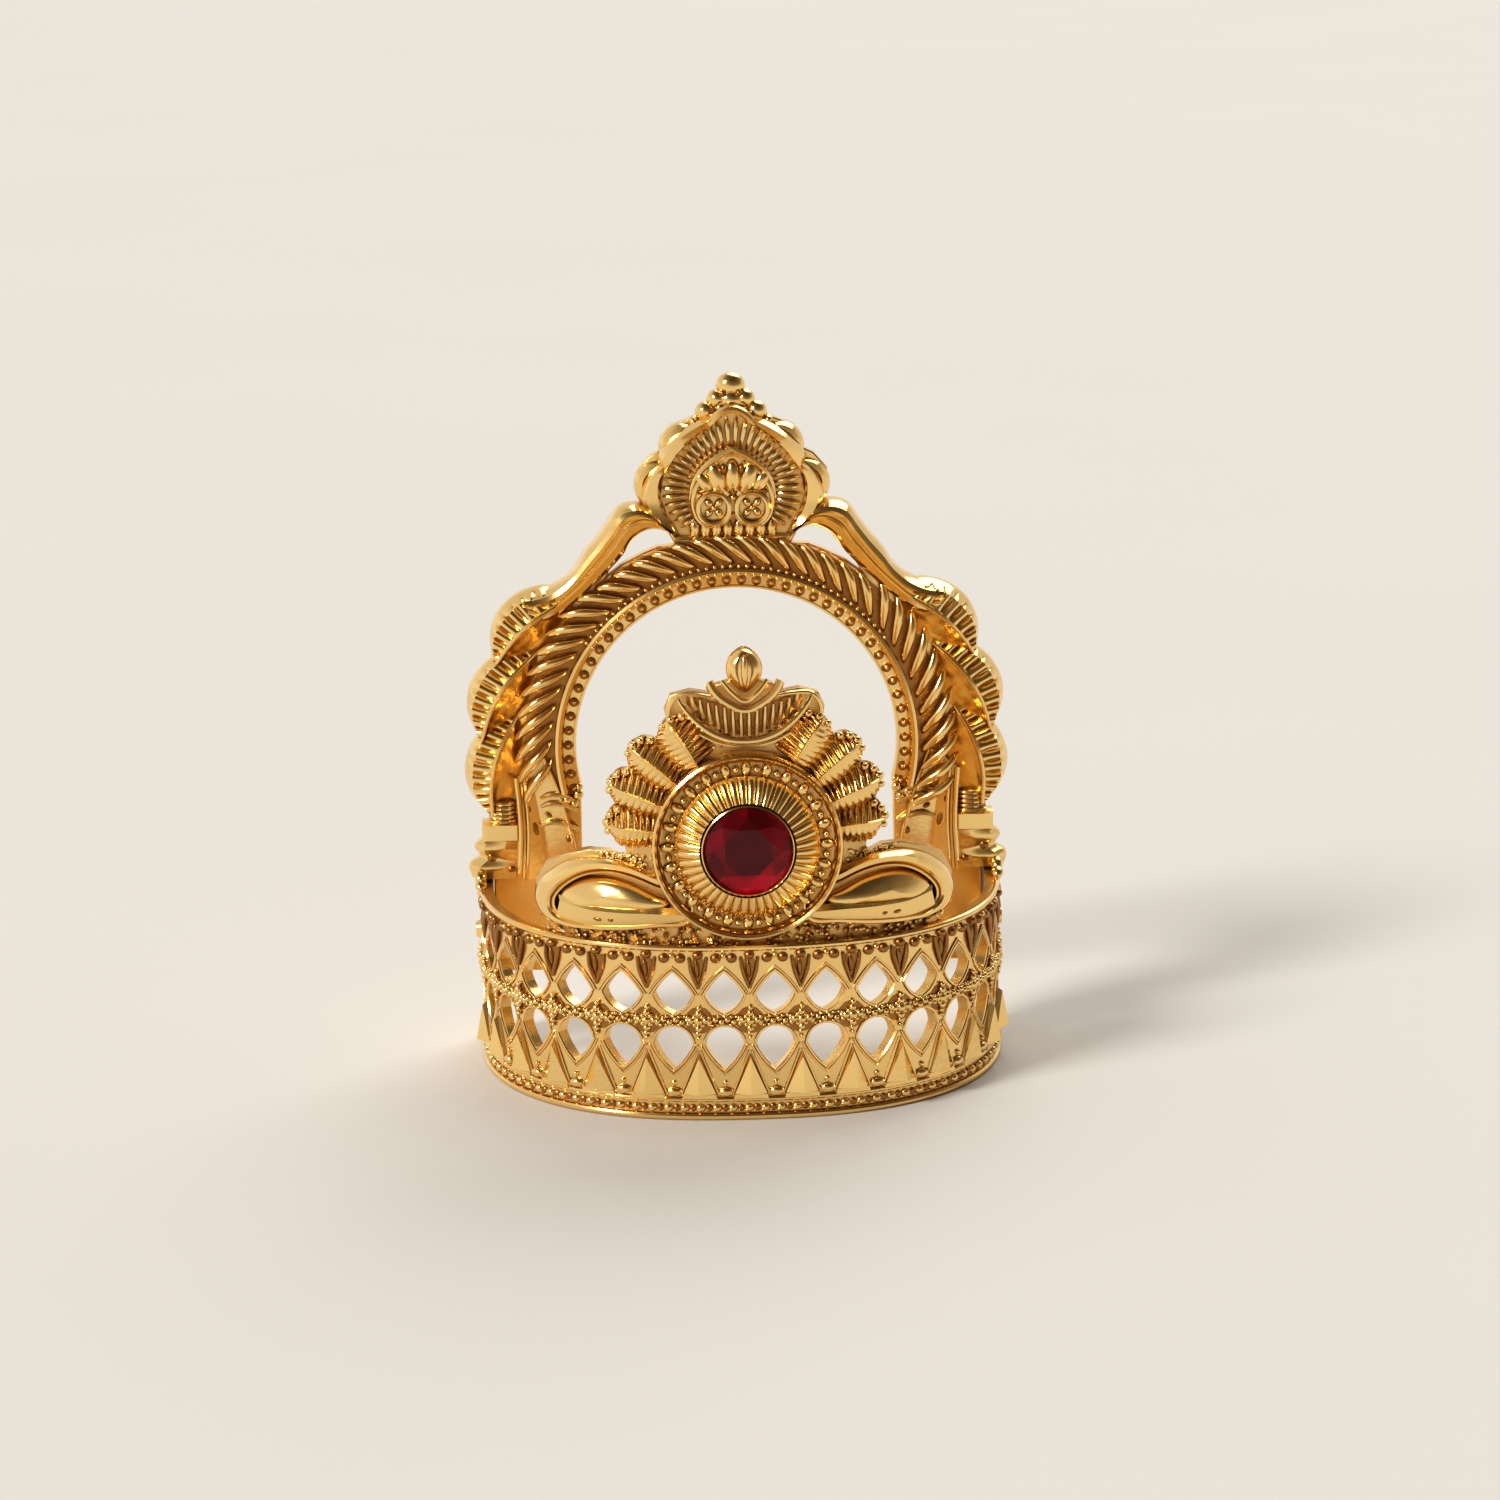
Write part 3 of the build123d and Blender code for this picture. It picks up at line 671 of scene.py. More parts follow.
# Grains round the end of each cell and along its middle: across, up and radius
JOINT_GRAINS = (
    (0, 0, 0.46), (0.66, 0.06, 0.37), (-0.66, 0.06, 0.37), (0, 0.74, 0.37), (0, -0.72, 0.37),
    (0.36, 0.4, 0.26), (-0.36, 0.4, 0.26), (0.36, -0.38, 0.26), (-0.36, -0.38, 0.26), (0.05, 1.25, 0.27),
    (-0.05, -1.2, 0.27), (0.95, -0.28, 0.22), (-0.95, -0.28, 0.22), (0.98, 0.34, 0.22), (-0.98, 0.34, 0.22),
    (0, -1.68, 0.2),
)
SEAM_GRAINS = (
    (0.28, 0.12, 0.33), (-0.28, -0.1, 0.33), (0.86, -0.12, 0.31), (-0.86, 0.12, 0.31), (1.36, 0.1, 0.28),
    (-1.36, -0.1, 0.28), (0.0, 0.44, 0.2), (-0.56, 0.42, 0.18), (0.6, 0.4, 0.18), (1.1, 0.4, 0.18),
    (0.02, -0.42, 0.18), (0.56, -0.4, 0.2), (-0.62, -0.42, 0.18), (-1.1, -0.44, 0.18),
)
# Curls on the top edge near the ends: from the end, up, lean, width and height
CURLS = ((6.4, 0.25, 20, 0.9, 0.5), (5.2, 0.75, 30, 1.0, 0.6), (1.2, 1.2, 0, 0.9, 0.6))


def gap_outline(up, half_width, shoulder, half_height, upper_bow, lower_bow, grow=0.0, part="all"):
    """Outline of one gap: pointed above and below, its four sides bowed outwards."""
    reach = half_width + grow
    tall = half_height + 1.2 * grow
    left, top, right, bottom = (-reach, shoulder), (0.0, tall), (reach, shoulder), (0.0, -tall)
    upper = [(left, top, upper_bow), (top, right, upper_bow)]
    lower = [(right, bottom, lower_bow), (bottom, left, lower_bow)]
    sides = {"all": upper + lower, "upper": upper, "lower": lower}[part]
    line = []
    for start, stop, bow in sides:
        run = np.subtract(stop, start)
        normal = np.array((-run[1], run[0])) / np.linalg.norm(run)
        line += [start + run * t + normal * 4 * bow * t * (1 - t) for t in np.arange(6) / 6]
    if part != "all":
        line.append(stop)
    return [(x, y + up) for x, y in line]


def end_rise(across, end):
    """How far the band's top edge has risen at a place near its end."""
    return END_RISE * np.clip((abs(across) - end + RISE_RUN) / RISE_RUN, 0, 1) ** 2


class CROWN_OT_band(bpy.types.Operator):
    """Builds the pierced band with its wires, spikes and grains"""

    bl_idname = "crown.band"
    bl_label = "Band"

    def execute(self, context):
        size = context.scene.crown_band
        pitch = mm(size.pitch)
        height = mm(size.height)
        wall = mm(size.wall)
        radius = mm(size.radius)
        half = pitch / 2
        pierced_end = size.cells * half
        end = pierced_end + mm(size.ends)
        seam = SEAM * height
        foot = SPIKE_FOOT * height
        top = height - 0.75
        wide = mm(size.gap_width) / 2
        upper = (UPPER_ROW * height, wide, -0.16, mm(size.upper_gap) / 2, 0.16, 0.34)
        lower = (LOWER_ROW * height, wide, 0.35, mm(size.lower_gap) / 2, 0.52, 0.2)
        middles = [(i + 0.5 - size.cells / 2) * pitch for i in range(size.cells)]
        joints = [(i - size.cells / 2) * pitch for i in range(size.cells + 1)]

        # The wall: one cell with its two gaps, open at its sides, repeated and bevelled
        frame_line = [(-half, 0.1), (half, 0.1), (half, height - 0.1), (-half, height - 0.1)]
        cell = cut_plate([frame_line, gap_outline(*upper), gap_outline(*lower)], CAST, -wall, 0.0, 0.0)
        slice_up(cell, [cut * pitch for cut in (-0.38, -0.19, 0.0, 0.19, 0.38)])
        for face in cell.data.polygons:
            face.select = abs(face.normal.x) > 0.9 and abs(face.center.x) > 0.999 * half
        bpy.ops.object.mode_set(mode="EDIT")
        bpy.ops.mesh.select_mode(type="FACE")
        bpy.ops.mesh.delete(type="FACE")
        bpy.ops.mesh.select_mode(type="VERT")
        bpy.ops.object.mode_set(mode="OBJECT")
        pierced = face_outward(repeated(cell, middles), 1e-3)
        edges = pierced.modifiers.new("Edges", "BEVEL")
        edges.width = 0.1
        edges.segments = 1
        edges.limit_method = "ANGLE"
        edges.angle_limit = radians(60)
        bpy.ops.object.modifier_apply(modifier=edges.name)
        parts = [pierced]
        for side in SIDES:
            places = np.linspace(*sorted((side * pierced_end, side * end)), 7)
            low_edge = [(x, 0.1, 0.0) for x in places]
            top_edge = [(x, height - 0.1 + end_rise(x, end), 0.0) for x in places]
            parts.append(strip([low_edge, top_edge], CAST, 12, 3, -wall))

        # Wires along the band and round its gaps
        rims = [(0.34, 0.12, 0.34), (1.98, 0.08, 0.24), (2.45, 0.02, 0.13)]
        places = np.linspace(-end, end, 121)
        long_lines = [[(x, up, out, thick) for x in places] for up, out, thick in rims]
        long_lines.append([(x, height - 0.3 + end_rise(x, end), -0.05, 0.3) for x in places])
        parts.append(wires(long_lines, POLISH, 10, 1))
        gap_wires = []
        for gap, tip in ((upper, "upper"), (lower, "lower")):
            for part, grow, out, thick in (("all", 0.1, 0.05, 0.15), (tip, 0.42, 0.06, 0.1)):
                outline = raised(gap_outline(*gap, grow, part), out, thick)
                gap_wires.append(wires([outline], POLISH, 6, 1, part == "all"))
        parts.append(repeated(joined("gap_wires", gap_wires), middles))
        # Three wires along the seam, dark with painted shade
        places = np.linspace(-end, end, 160)
        parts.append(
            wires([[(x, seam + up, -0.06, 0.2) for x in places] for up in (-0.36, 0.0, 0.36)], SHADED_PIT, 6, 1)
        )

        # A spike, and a drop and a patch of the seam, both dark with painted shade, stand where two cells
        # meet
        spike = facets([[(x, foot + y, out) for x, y, out in block] for block in SPIKE], POLISH)
        tent = [(1.72, foot + 0.1, 0.02, 0.13), (0.9, foot + 2.2, 0.04, 0.13), (0.1, foot + 4.35, 0.02, 0.1)]
        hollow = facets([[(x, top + y, out) for out in (-0.1, 0.07) for x, y in DROP_FACE]], SHADED_PIT)
        fold = [(0.8, top - 0.4, 0.1, 0.16), (0.58, top - 1.7, 0.25, 0.2), (0, top - 3.4, 0.1, 0.15)]
        shaded_beads = [put(0, top - 0.15, 0.15, 0.5, 0.42, 0.45), put(-0.1, top - 1.5, 0.06, 0.26, 0.9, 0.3, 4)]
        turns = np.linspace(0, 2 * pi, 12, False)
        patch = [(1.3 * cos(a), 1.35 * sin(a) + seam, out) for a in turns for out in (-0.3, 0.07)]
        for motif in (
            [spike, wires(on_sides(tent), POLISH, 6, 2)],
            [hollow, wires(on_sides(fold), SHADED_PIT, 6, 3), beads(shaded_beads, SHADED_PIT)],
            [facets([patch], SHADED_PIT)],
        ):
            parts.append(repeated(joined("motif", motif), joints[1:-1]))
        finished(stand(joined("band_wall", parts), "wrapped", radius), "band", 30)

        grains = []
        for x in joints:
            for across, up, thick in JOINT_GRAINS:
                if abs(x) + abs(across) < pierced_end + 0.1:
                    grains.append(put(x + across, seam + up, 0.22, thick))
        for x in middles:
            for across, up, thick in SEAM_GRAINS:
                grains.append(put(x + across, seam + up, 0.13, thick, thick, 1.2 * thick))
            grains.append(put(x, foot + 0.35, 0.05, 0.78, 0.5, 0.5))
            grains.append(put(x, foot + 1.2, 0.05, 0.26, 0.3, 0.26))
        foot_row = np.arange(-end + 0.8, end - 0.3, 1.5)
        grains += [put(x, 1.16, 0.0, 0.5, 0.42, 0.42) for x in foot_row]
        # Pits between the foot's beads and beside the top of each cell, dark with painted shade
        pits = [put(x + 0.75, 1.16, 0.1, 0.34, 0.36, 0.16) for x in foot_row[:-1]]
        pits += [put(x + s * 0.74, height - 1.22, 0.05, 0.52, 0.5, 0.42) for x in middles for s in SIDES]
        domes = [put(x, height - 0.95, 0.05, 0.3, 0.26, 0.36) for x in middles]
        domes += [put(s * (pierced_end + x), height - 1.25, 0.0, 0.5) for x in (0.9, 2.4) for s in SIDES]
        for across, up, lean, wide, tall in CURLS:
            domes += [put(s * (end - across), height + up, 0.1, wide, tall, 0.6, s * lean) for s in SIDES]
        dots = [beads(grains, POLISH, 8, 6), beads(pits, SHADED_PIT, 10, 6), beads(domes, POLISH)]
        finished(stand(joined("band_grains", dots), "wrapped", radius), "band", 50)
        return {"FINISHED"}


def round_point(middle, radius, angle, *more):
    """A point at a radius and an angle in degrees round a centre at the height given."""
    turn = radians(angle)
    return (radius * cos(turn), middle + radius * sin(turn), *more)


def set_round(middle, turn, points, wide=1.0):
    """Points of way outwards, way across and out, turned round a centre at the height given."""
    return [
        (s * cos(turn) - t * wide * sin(turn), middle + s * sin(turn) + t * wide * cos(turn), out)
        for s, t, out in points
    ]


def lifted(rails, outs):
    """Rails drawn flat, each lifted to its own out."""
    return [raised(rail, out) for rail, out in zip(rails, outs)]


# Lines on the arch's right half, as across and up: the shoulder, the plate's edge and the eye hole
SHOULDER_OUTER = (
    (7.0, 52.7), (7.6, 53.7), (9.0, 54.3), (11.1, 53.95), (12.2, 52.5), (13.3, 51.0), (14.5, 49.6),
    (15.45, 48.1), (17.1, 46.7), (19.0, 45.9), (20.3, 45.6),
)
SHOULDER_RIDGE = (
    (6.2, 51.8), (7.4, 52.8), (9.1, 53.1), (10.5, 52.4), (11.6, 50.9), (12.9, 49.3), (14.2, 47.8),
    (15.5, 46.5), (17.1, 45.2), (18.7, 44.5), (20.2, 44.6),
)
SHOULDER_INNER = (
    (5.4, 50.9), (6.5, 51.7), (8.0, 51.9), (9.4, 51.2), (10.7, 49.4), (12.1, 47.9), (13.6, 46.5),
    (15.0, 45.2), (16.6, 44.0), (18.0, 43.2), (19.6, 43.0),
)
PLATE_EDGE = (
    (0.0, 66.4), (1.1, 66.0), (1.2, 64.9), (2.2, 64.4), (2.4, 63.6), (3.2, 63.2), (3.6, 62.6), (5.2, 62.0),
    (6.6, 60.9), (6.9, 59.4), (7.9, 58.9), (9.2, 57.4), (9.1, 56.2), (8.4, 54.6), (8.9, 53.9), (10.9, 53.5),
    (12.0, 52.1), (13.1, 50.6), (14.3, 49.2), (15.3, 47.7), (17.0, 46.4), (18.9, 46.1), (20.8, 45.5),
    (22.3, 44.2), (23.4, 41.8), (23.5, 40.1), (23.4, 39.3), (24.6, 38.0), (25.6, 36.0), (25.8, 34.4),
    (25.4, 32.5), (25.0, 31.8), (25.7, 30.3), (26.1, 28.3), (25.6, 26.2), (24.6, 24.9), (23.7, 24.2),
    (24.1, 22.3), (24.7, 20.6), (25.0, 19.1), (25.2, 17.1), (24.1, 17.1), (24.1, 7.6), (19.1, 7.6),
    (15.4, 17.2), (15.3, 25.6),
)
EYE_HOLE = (
    (5.6, 50.1), (6.3, 51.4), (7.8, 51.9), (9.3, 51.2), (10.6, 49.7), (11.8, 48.2), (12.4, 47.1),
    (10.9, 48.3), (9.0, 49.3), (7.3, 50.0),
)
# Lines of one lobe, as way from the opening's centre, way down and out: its fan and its leaf
LOBE_RIDGE = (
    (20.9, -5.5, 1.4), (21.8, -4.4, 2.0), (23.0, -2.5, 2.55), (23.8, -0.7, 2.7), (24.3, 1.3, 2.4),
    (24.5, 4.0, 1.7),
)
LOBE_FAN = (
    (
        (21.2, -5.6, 1.3), (23.9, -4.2, 1.85), (25.3, -2.5, 2.1), (25.9, -0.5, 2.15), (26.0, 1.5, 1.9),
        (24.8, 4.1, 1.4),
    ),
    (
        (21.4, -5.7, 0.4), (24.3, -4.5, 0.3), (26.0, -2.6, 0.2), (26.7, -0.5, 0.2), (26.5, 1.5, 0.2),
        (24.9, 4.2, 0.5),
    ),
)
LOBE_LEAF = (
    (
        (20.8, -5.4, 1.0), (20.6, -3.4, 0.8), (20.7, -1.2, 0.75), (21.1, 0.6, 0.75), (22.3, 2.5, 0.75),
        (24.2, 4.1, 0.9),
    ),
    (
        (20.85, -5.4, 1.15), (21.0, -3.7, 1.1), (21.7, -1.5, 1.1), (22.3, 0.4, 1.05), (23.1, 2.2, 1.0),
        (24.3, 4.0, 1.1),
    ),
    (
        (20.9, -5.45, 1.25), (21.4, -4.1, 1.5), (22.4, -2.1, 1.75), (23.1, -0.2, 1.7), (23.8, 1.8, 1.45),
        (24.4, 4.0, 1.3),
    ),
)
# Stepped moulding at the foot of the leg, from its inner edge outwards
FOOT_STEPS = (
    ((21.4, 21.3, 1.3), (21.4, 20.2, 1.3), (21.4, 19.2, 1.3), (21.4, 18.2, 1.3), (21.4, 17.3, 1.2)),
    ((23.0, 21.3, 1.5), (23.2, 20.3, 1.6), (23.0, 19.3, 1.45), (23.3, 18.3, 1.6), (23.3, 17.3, 1.3)),
    ((24.4, 21.3, 1.4), (25.0, 20.4, 1.6), (24.6, 19.4, 1.3), (25.5, 18.4, 1.6), (25.3, 17.3, 1.3)),
    ((24.9, 21.3, 0.3), (25.9, 20.4, 0.3), (25.4, 19.5, 0.3), (26.5, 18.5, 0.3), (26.2, 17.3, 0.3)),
)


class CROWN_OT_arch(bpy.types.Operator):
    """Builds the arch's plate with its lobes, shoulders and legs"""

    bl_idname = "crown.arch"
    bl_label = "Arch"

    def execute(self, context):
        size = context.scene.crown_arch
        middle = mm(size.middle)
        half = mm(size.thickness) / 2
        opening = mm(size.opening) + 0.35
        arc = [round_point(middle, opening, a) for a in np.linspace(-14, 194, 64)]
        outline = [*PLATE_EDGE, *arc, *mirror_of(PLATE_EDGE[1:])]
        plate = cut_plate([outline] + on_sides(EYE_HOLE), CAST, -half, half - 0.35, 0.14)

        parts = []
        fade = (0.15, 1, 1, 0.9, 0.35, 0, 0)
        for lobe in range(3):
            axis = radians(30.1) - lobe * size.lobe_step
            ridge, *rest = (
                set_round(middle, axis, line, -1.0) for line in (LOBE_RIDGE,) + LOBE_FAN + LOBE_LEAF
            )
            fold = [(x, y, out - 0.15) for x, y, out in ridge]
            # The leaf's warmer gilding is a painted reflection of the gilding round it
            parts += [
                strip([ridge] + rest[:2], POLISH, 110, 4, -0.8, False, 10, 0.95, fade),
                strip(rest[2:] + [fold], LEAF, 40, 4, -0.7),
                wires([thickened(ridge, (0.12, 0.2, 0.25, 0.26, 0.24, 0.16))], POLISH, 8, 6),
            ]

        outer, ridge, inner = (np.array(line) for line in (SHOULDER_OUTER, SHOULDER_RIDGE, SHOULDER_INNER))
        shoulder = []
        for near, far, amount, out in (
            (outer, ridge, 0.0, 0.3), (outer, ridge, 0.1, 1.3), (outer, ridge, 0.35, 2.15),
            (outer, ridge, 0.65, 2.4), (outer, ridge, 0.92, 2.1), (ridge, inner, 0.08, 2.05),
            (ridge, inner, 0.3, 2.45), (ridge, inner, 0.7, 2.3), (ridge, inner, 0.95, 1.8),
            (ridge, inner, 1.0, 0.9),
        ):
            shoulder.append(raised(near + (far - near) * amount, out))
        parts.append(strip(shoulder, POLISH, 60, 2, -0.8))

        # The leg: ridges, two blocks, the stepped foot, its dimples, dark with painted shade, and the hollow
        # beside it
        ridges = [
            [
                (21.7, up, 1.0, 0.2), (22.6, up + 0.03, 1.45, 0.24), (23.6, up, 1.35, 0.24),
                (24.3, up - 0.05, 0.9, 0.2),
            ]
            for up in (24.9, 24.45, 24.0, 23.55, 23.1)
        ]
        parts.append(wires(ridges, POLISH, 8, 3))
        blocks = []
        for near, far, low, high, out in ((21.7, 24.2, 22.7, 25.2, 1.1), (21.4, 25.1, 21.1, 23.0, 1.8)):
            foot = [(x, y, level) for level in (-0.7, out - 0.4) for x in (near, far) for y in (low, high)]
            blocks.append(
                foot + [(x, y, out) for x in (near + 0.3, far - 0.5) for y in (low + 0.2, high - 0.2)]
            )
        parts.append(facets(blocks, POLISH))
        parts.append(strip(FOOT_STEPS, POLISH, 40, 4, -0.8))
        dimples = [
            put(24.2, 19.5, 1.3, 0.5, 0.5, 0.3), put(22.3, 18.3, 1.4, 0.42, 0.34, 0.3),
            put(20.0, 22.3, 0.8, 0.4, 0.95, 0.3, -18), put(20.5, 24.3, 1.05, 0.24, 0.42, 0.25, -20),
            put(18.6, 23.6, 1.0, 0.2, 0.4, 0.25, -60), put(16.6, 21.2, 1.15, 0.34, 0.4, 0.25),
        ]
        parts.append(beads(dimples, SHADED_PIT))
        left_edge = [
            (18.9, 29.4, 1.2), (17.6, 26.0, 1.2), (16.6, 22.5, 1.2), (15.9, 19.0, 1.2), (15.6, 17.2, 1.1),
        ]
        hollow = [
            (20.3, 28.6, 1.0), (19.8, 25.6, 0.8), (19.3, 22.4, 0.7), (18.9, 19.5, 0.8), (18.7, 17.2, 0.9),
        ]
        right_edge = [
            (21.6, 27.5, 1.4), (21.4, 25.0, 1.6), (21.3, 22.3, 1.6), (21.4, 19.8, 1.6), (21.6, 17.2, 1.5),
        ]
        parts.append(strip([left_edge, hollow, right_edge], CAST, 30, 5, -0.5))
        bars = [raised(left_edge, 0.2), raised(right_edge, 0.28)]
        bars.append([(x - 0.75, y, out - 0.1, 0.16) for x, y, out in right_edge])
        slant = (
            (15.7, -0.6, 0.9, 0.2), (16.9, 0.1, 1.15, 0.3), (18.3, 0.3, 1.15, 0.28), (19.3, -0.1, 0.9, 0.14),
        )
        for up in (25.4, 24.5, 22.6):
            bars.append([(x, up + y, out, thick) for x, y, out, thick in slant])
        parts.append(wires(bars, POLISH, 8, 5))
        right_half = both_sides(joined("arch_half", parts))
        finished(stand(joined("arch_plate", [plate, right_half])), "arch", 34)
        return {"FINISHED"}


# Section of the rim round the opening, as radius past the opening's own and out
RIM = (
    (0, -0.86), (0, 0.95), (0.08, 1.1), (0.22, 1.1), (0.28, 0.85), (1.24, 0.85), (1.3, 1.6), (1.42, 1.95),
    (1.75, 2.05), (2.02, 1.9), (2.12, 1.3), (2.15, 0.3), (4.9, 0.3), (4.95, -0.86),
)
# One strand of the rope: radius, lean in degrees, out, thickness, and how much further it
# reaches away from the eye holes
STRAND = (
    (18.15, -6.0, 1.15, 0.12, 0.0), (18.5, -4.4, 1.45, 0.33, 0.0), (19.15, -2.0, 1.8, 0.43, 0.1),
    (19.85, 0.3, 1.9, 0.46, 0.25), (20.4, 2.6, 1.7, 0.42, 0.45), (20.7, 4.6, 1.35, 0.32, 0.65),
    (20.75, 5.6, 1.1, 0.12, 0.9),
)


class CROWN_OT_rope(bpy.types.Operator):
    """Builds the rope ring, the beaded rim and its grains"""

    bl_idname = "crown.rope"
    bl_label = "Rope ring"

    def execute(self, context):
        size = context.scene.crown_arch
        middle = mm(size.middle)
        opening = mm(size.opening)
        # The floor behind the rope and the pits round the rim's beads are dark with painted shade
        floor = ((2.1, 0.1), (5.0, 0.1), (5.0, 0.62), (2.1, 0.8))
        ground = spun([(opening + r, out) for r, out in floor], middle, SHADED_PIT, -14.4, 194.4, 110)
        rim = spun([(opening + r, out) for r, out in RIM], middle, POLISH, -14.5, 194.5, 110)
        strands = []
        for start in -15 + np.arange(size.strands) * 210 / size.strands:
            longer = not 48 < start < 130
            strands.append([
                round_point(middle, r + longer * more, start + lean, out, thick)
                for r, lean, out, thick, more in STRAND
            ])
        rope = wires(strands, POLISH, 10, 3)
        places = [round_point(middle, opening + 0.77, a, 0.85) for a in np.linspace(-14, 194, size.beads)]
        pits = beads([put(*place, 0.5, 0.5, 0.12) for place in places], SHADED_PIT, 12, 6)
        rim_beads = beads([put(*place, 0.27, 0.27, 0.42) for place in places], POLISH, 10, 7)
        tiny = []
        for ring, out in ((17.2, 1.95), (17.95, 1.75)):
            tiny += [put(*round_point(middle, ring, a, out), 0.2) for a in np.arange(36, 146, 2.5)]
        for side in SIDES:
            for across, up, thick in (
                (15.6, 25.6, 0.55), (16.0, 24.7, 0.42), (15.5, 26.4, 0.4), (16.7, 25.1, 0.5),
            ):
                tiny.append(put(side * across, up, 1.0, thick))
        ring = joined("rope_ring", [rim, rope, ground, rim_beads, pits, beads(tiny, POLISH, 8, 6)])
        finished(stand(ring), "arch", 38)
        return {"FINISHED"}


# Frame of the pediment, in two bent mouldings, each from its outer to its inner edge
FRAME_LOWER = (
    ((5.7, 51.4), (7.6, 52.6), (8.75, 54.6), (8.3, 56.9), (6.7, 58.5)),
    ((5.7, 51.7), (7.3, 52.9), (8.25, 54.7), (7.9, 56.7), (6.5, 58.2)),
    ((5.7, 52.1), (6.6, 53.2), (7.15, 54.8), (7.1, 56.6), (6.3, 58.0)),
    ((5.6, 52.3), (6.4, 53.4), (6.85, 54.9), (6.85, 56.4), (6.2, 57.8)),
)
FRAME_UPPER = (
    ((6.9, 57.4), (7.1, 58.8), (5.9, 60.6), (3.9, 62.0), (2.0, 62.9)),
    ((6.5, 57.6), (6.6, 58.9), (5.5, 60.4), (3.7, 61.7), (2.0, 62.6)),
    ((6.1, 57.8), (5.6, 58.9), (4.6, 60.0), (3.2, 61.1), (1.9, 61.9)),
    ((6.0, 57.7), (5.3, 58.8), (4.4, 59.7), (3.0, 60.8), (1.8, 61.7)),
)
# Right half of the heart and of the ground behind it
HEART = (
    (0, 59.1), (1.6, 58.2), (3.0, 56.8), (3.75, 55.2), (3.7, 53.6), (3.0, 52.4), (1.9, 52.05), (0.8, 52.5),
    (0, 53.2),
)
GROUND_FACE = (
    (0, 63.2), (3.0, 61.4), (5.6, 58.9), (6.6, 57.2), (7.0, 55.0), (6.4, 53.2), (5.4, 51.6), (5.0, 50.8),
)
# How far the sunburst's rays reach at each angle
RAYS = ((-34, 6.2), (-15, 6.7), (0, 6.9), (20, 6.7), (38, 6.2), (55, 6.3), (75, 7.1), (90, 7.5))


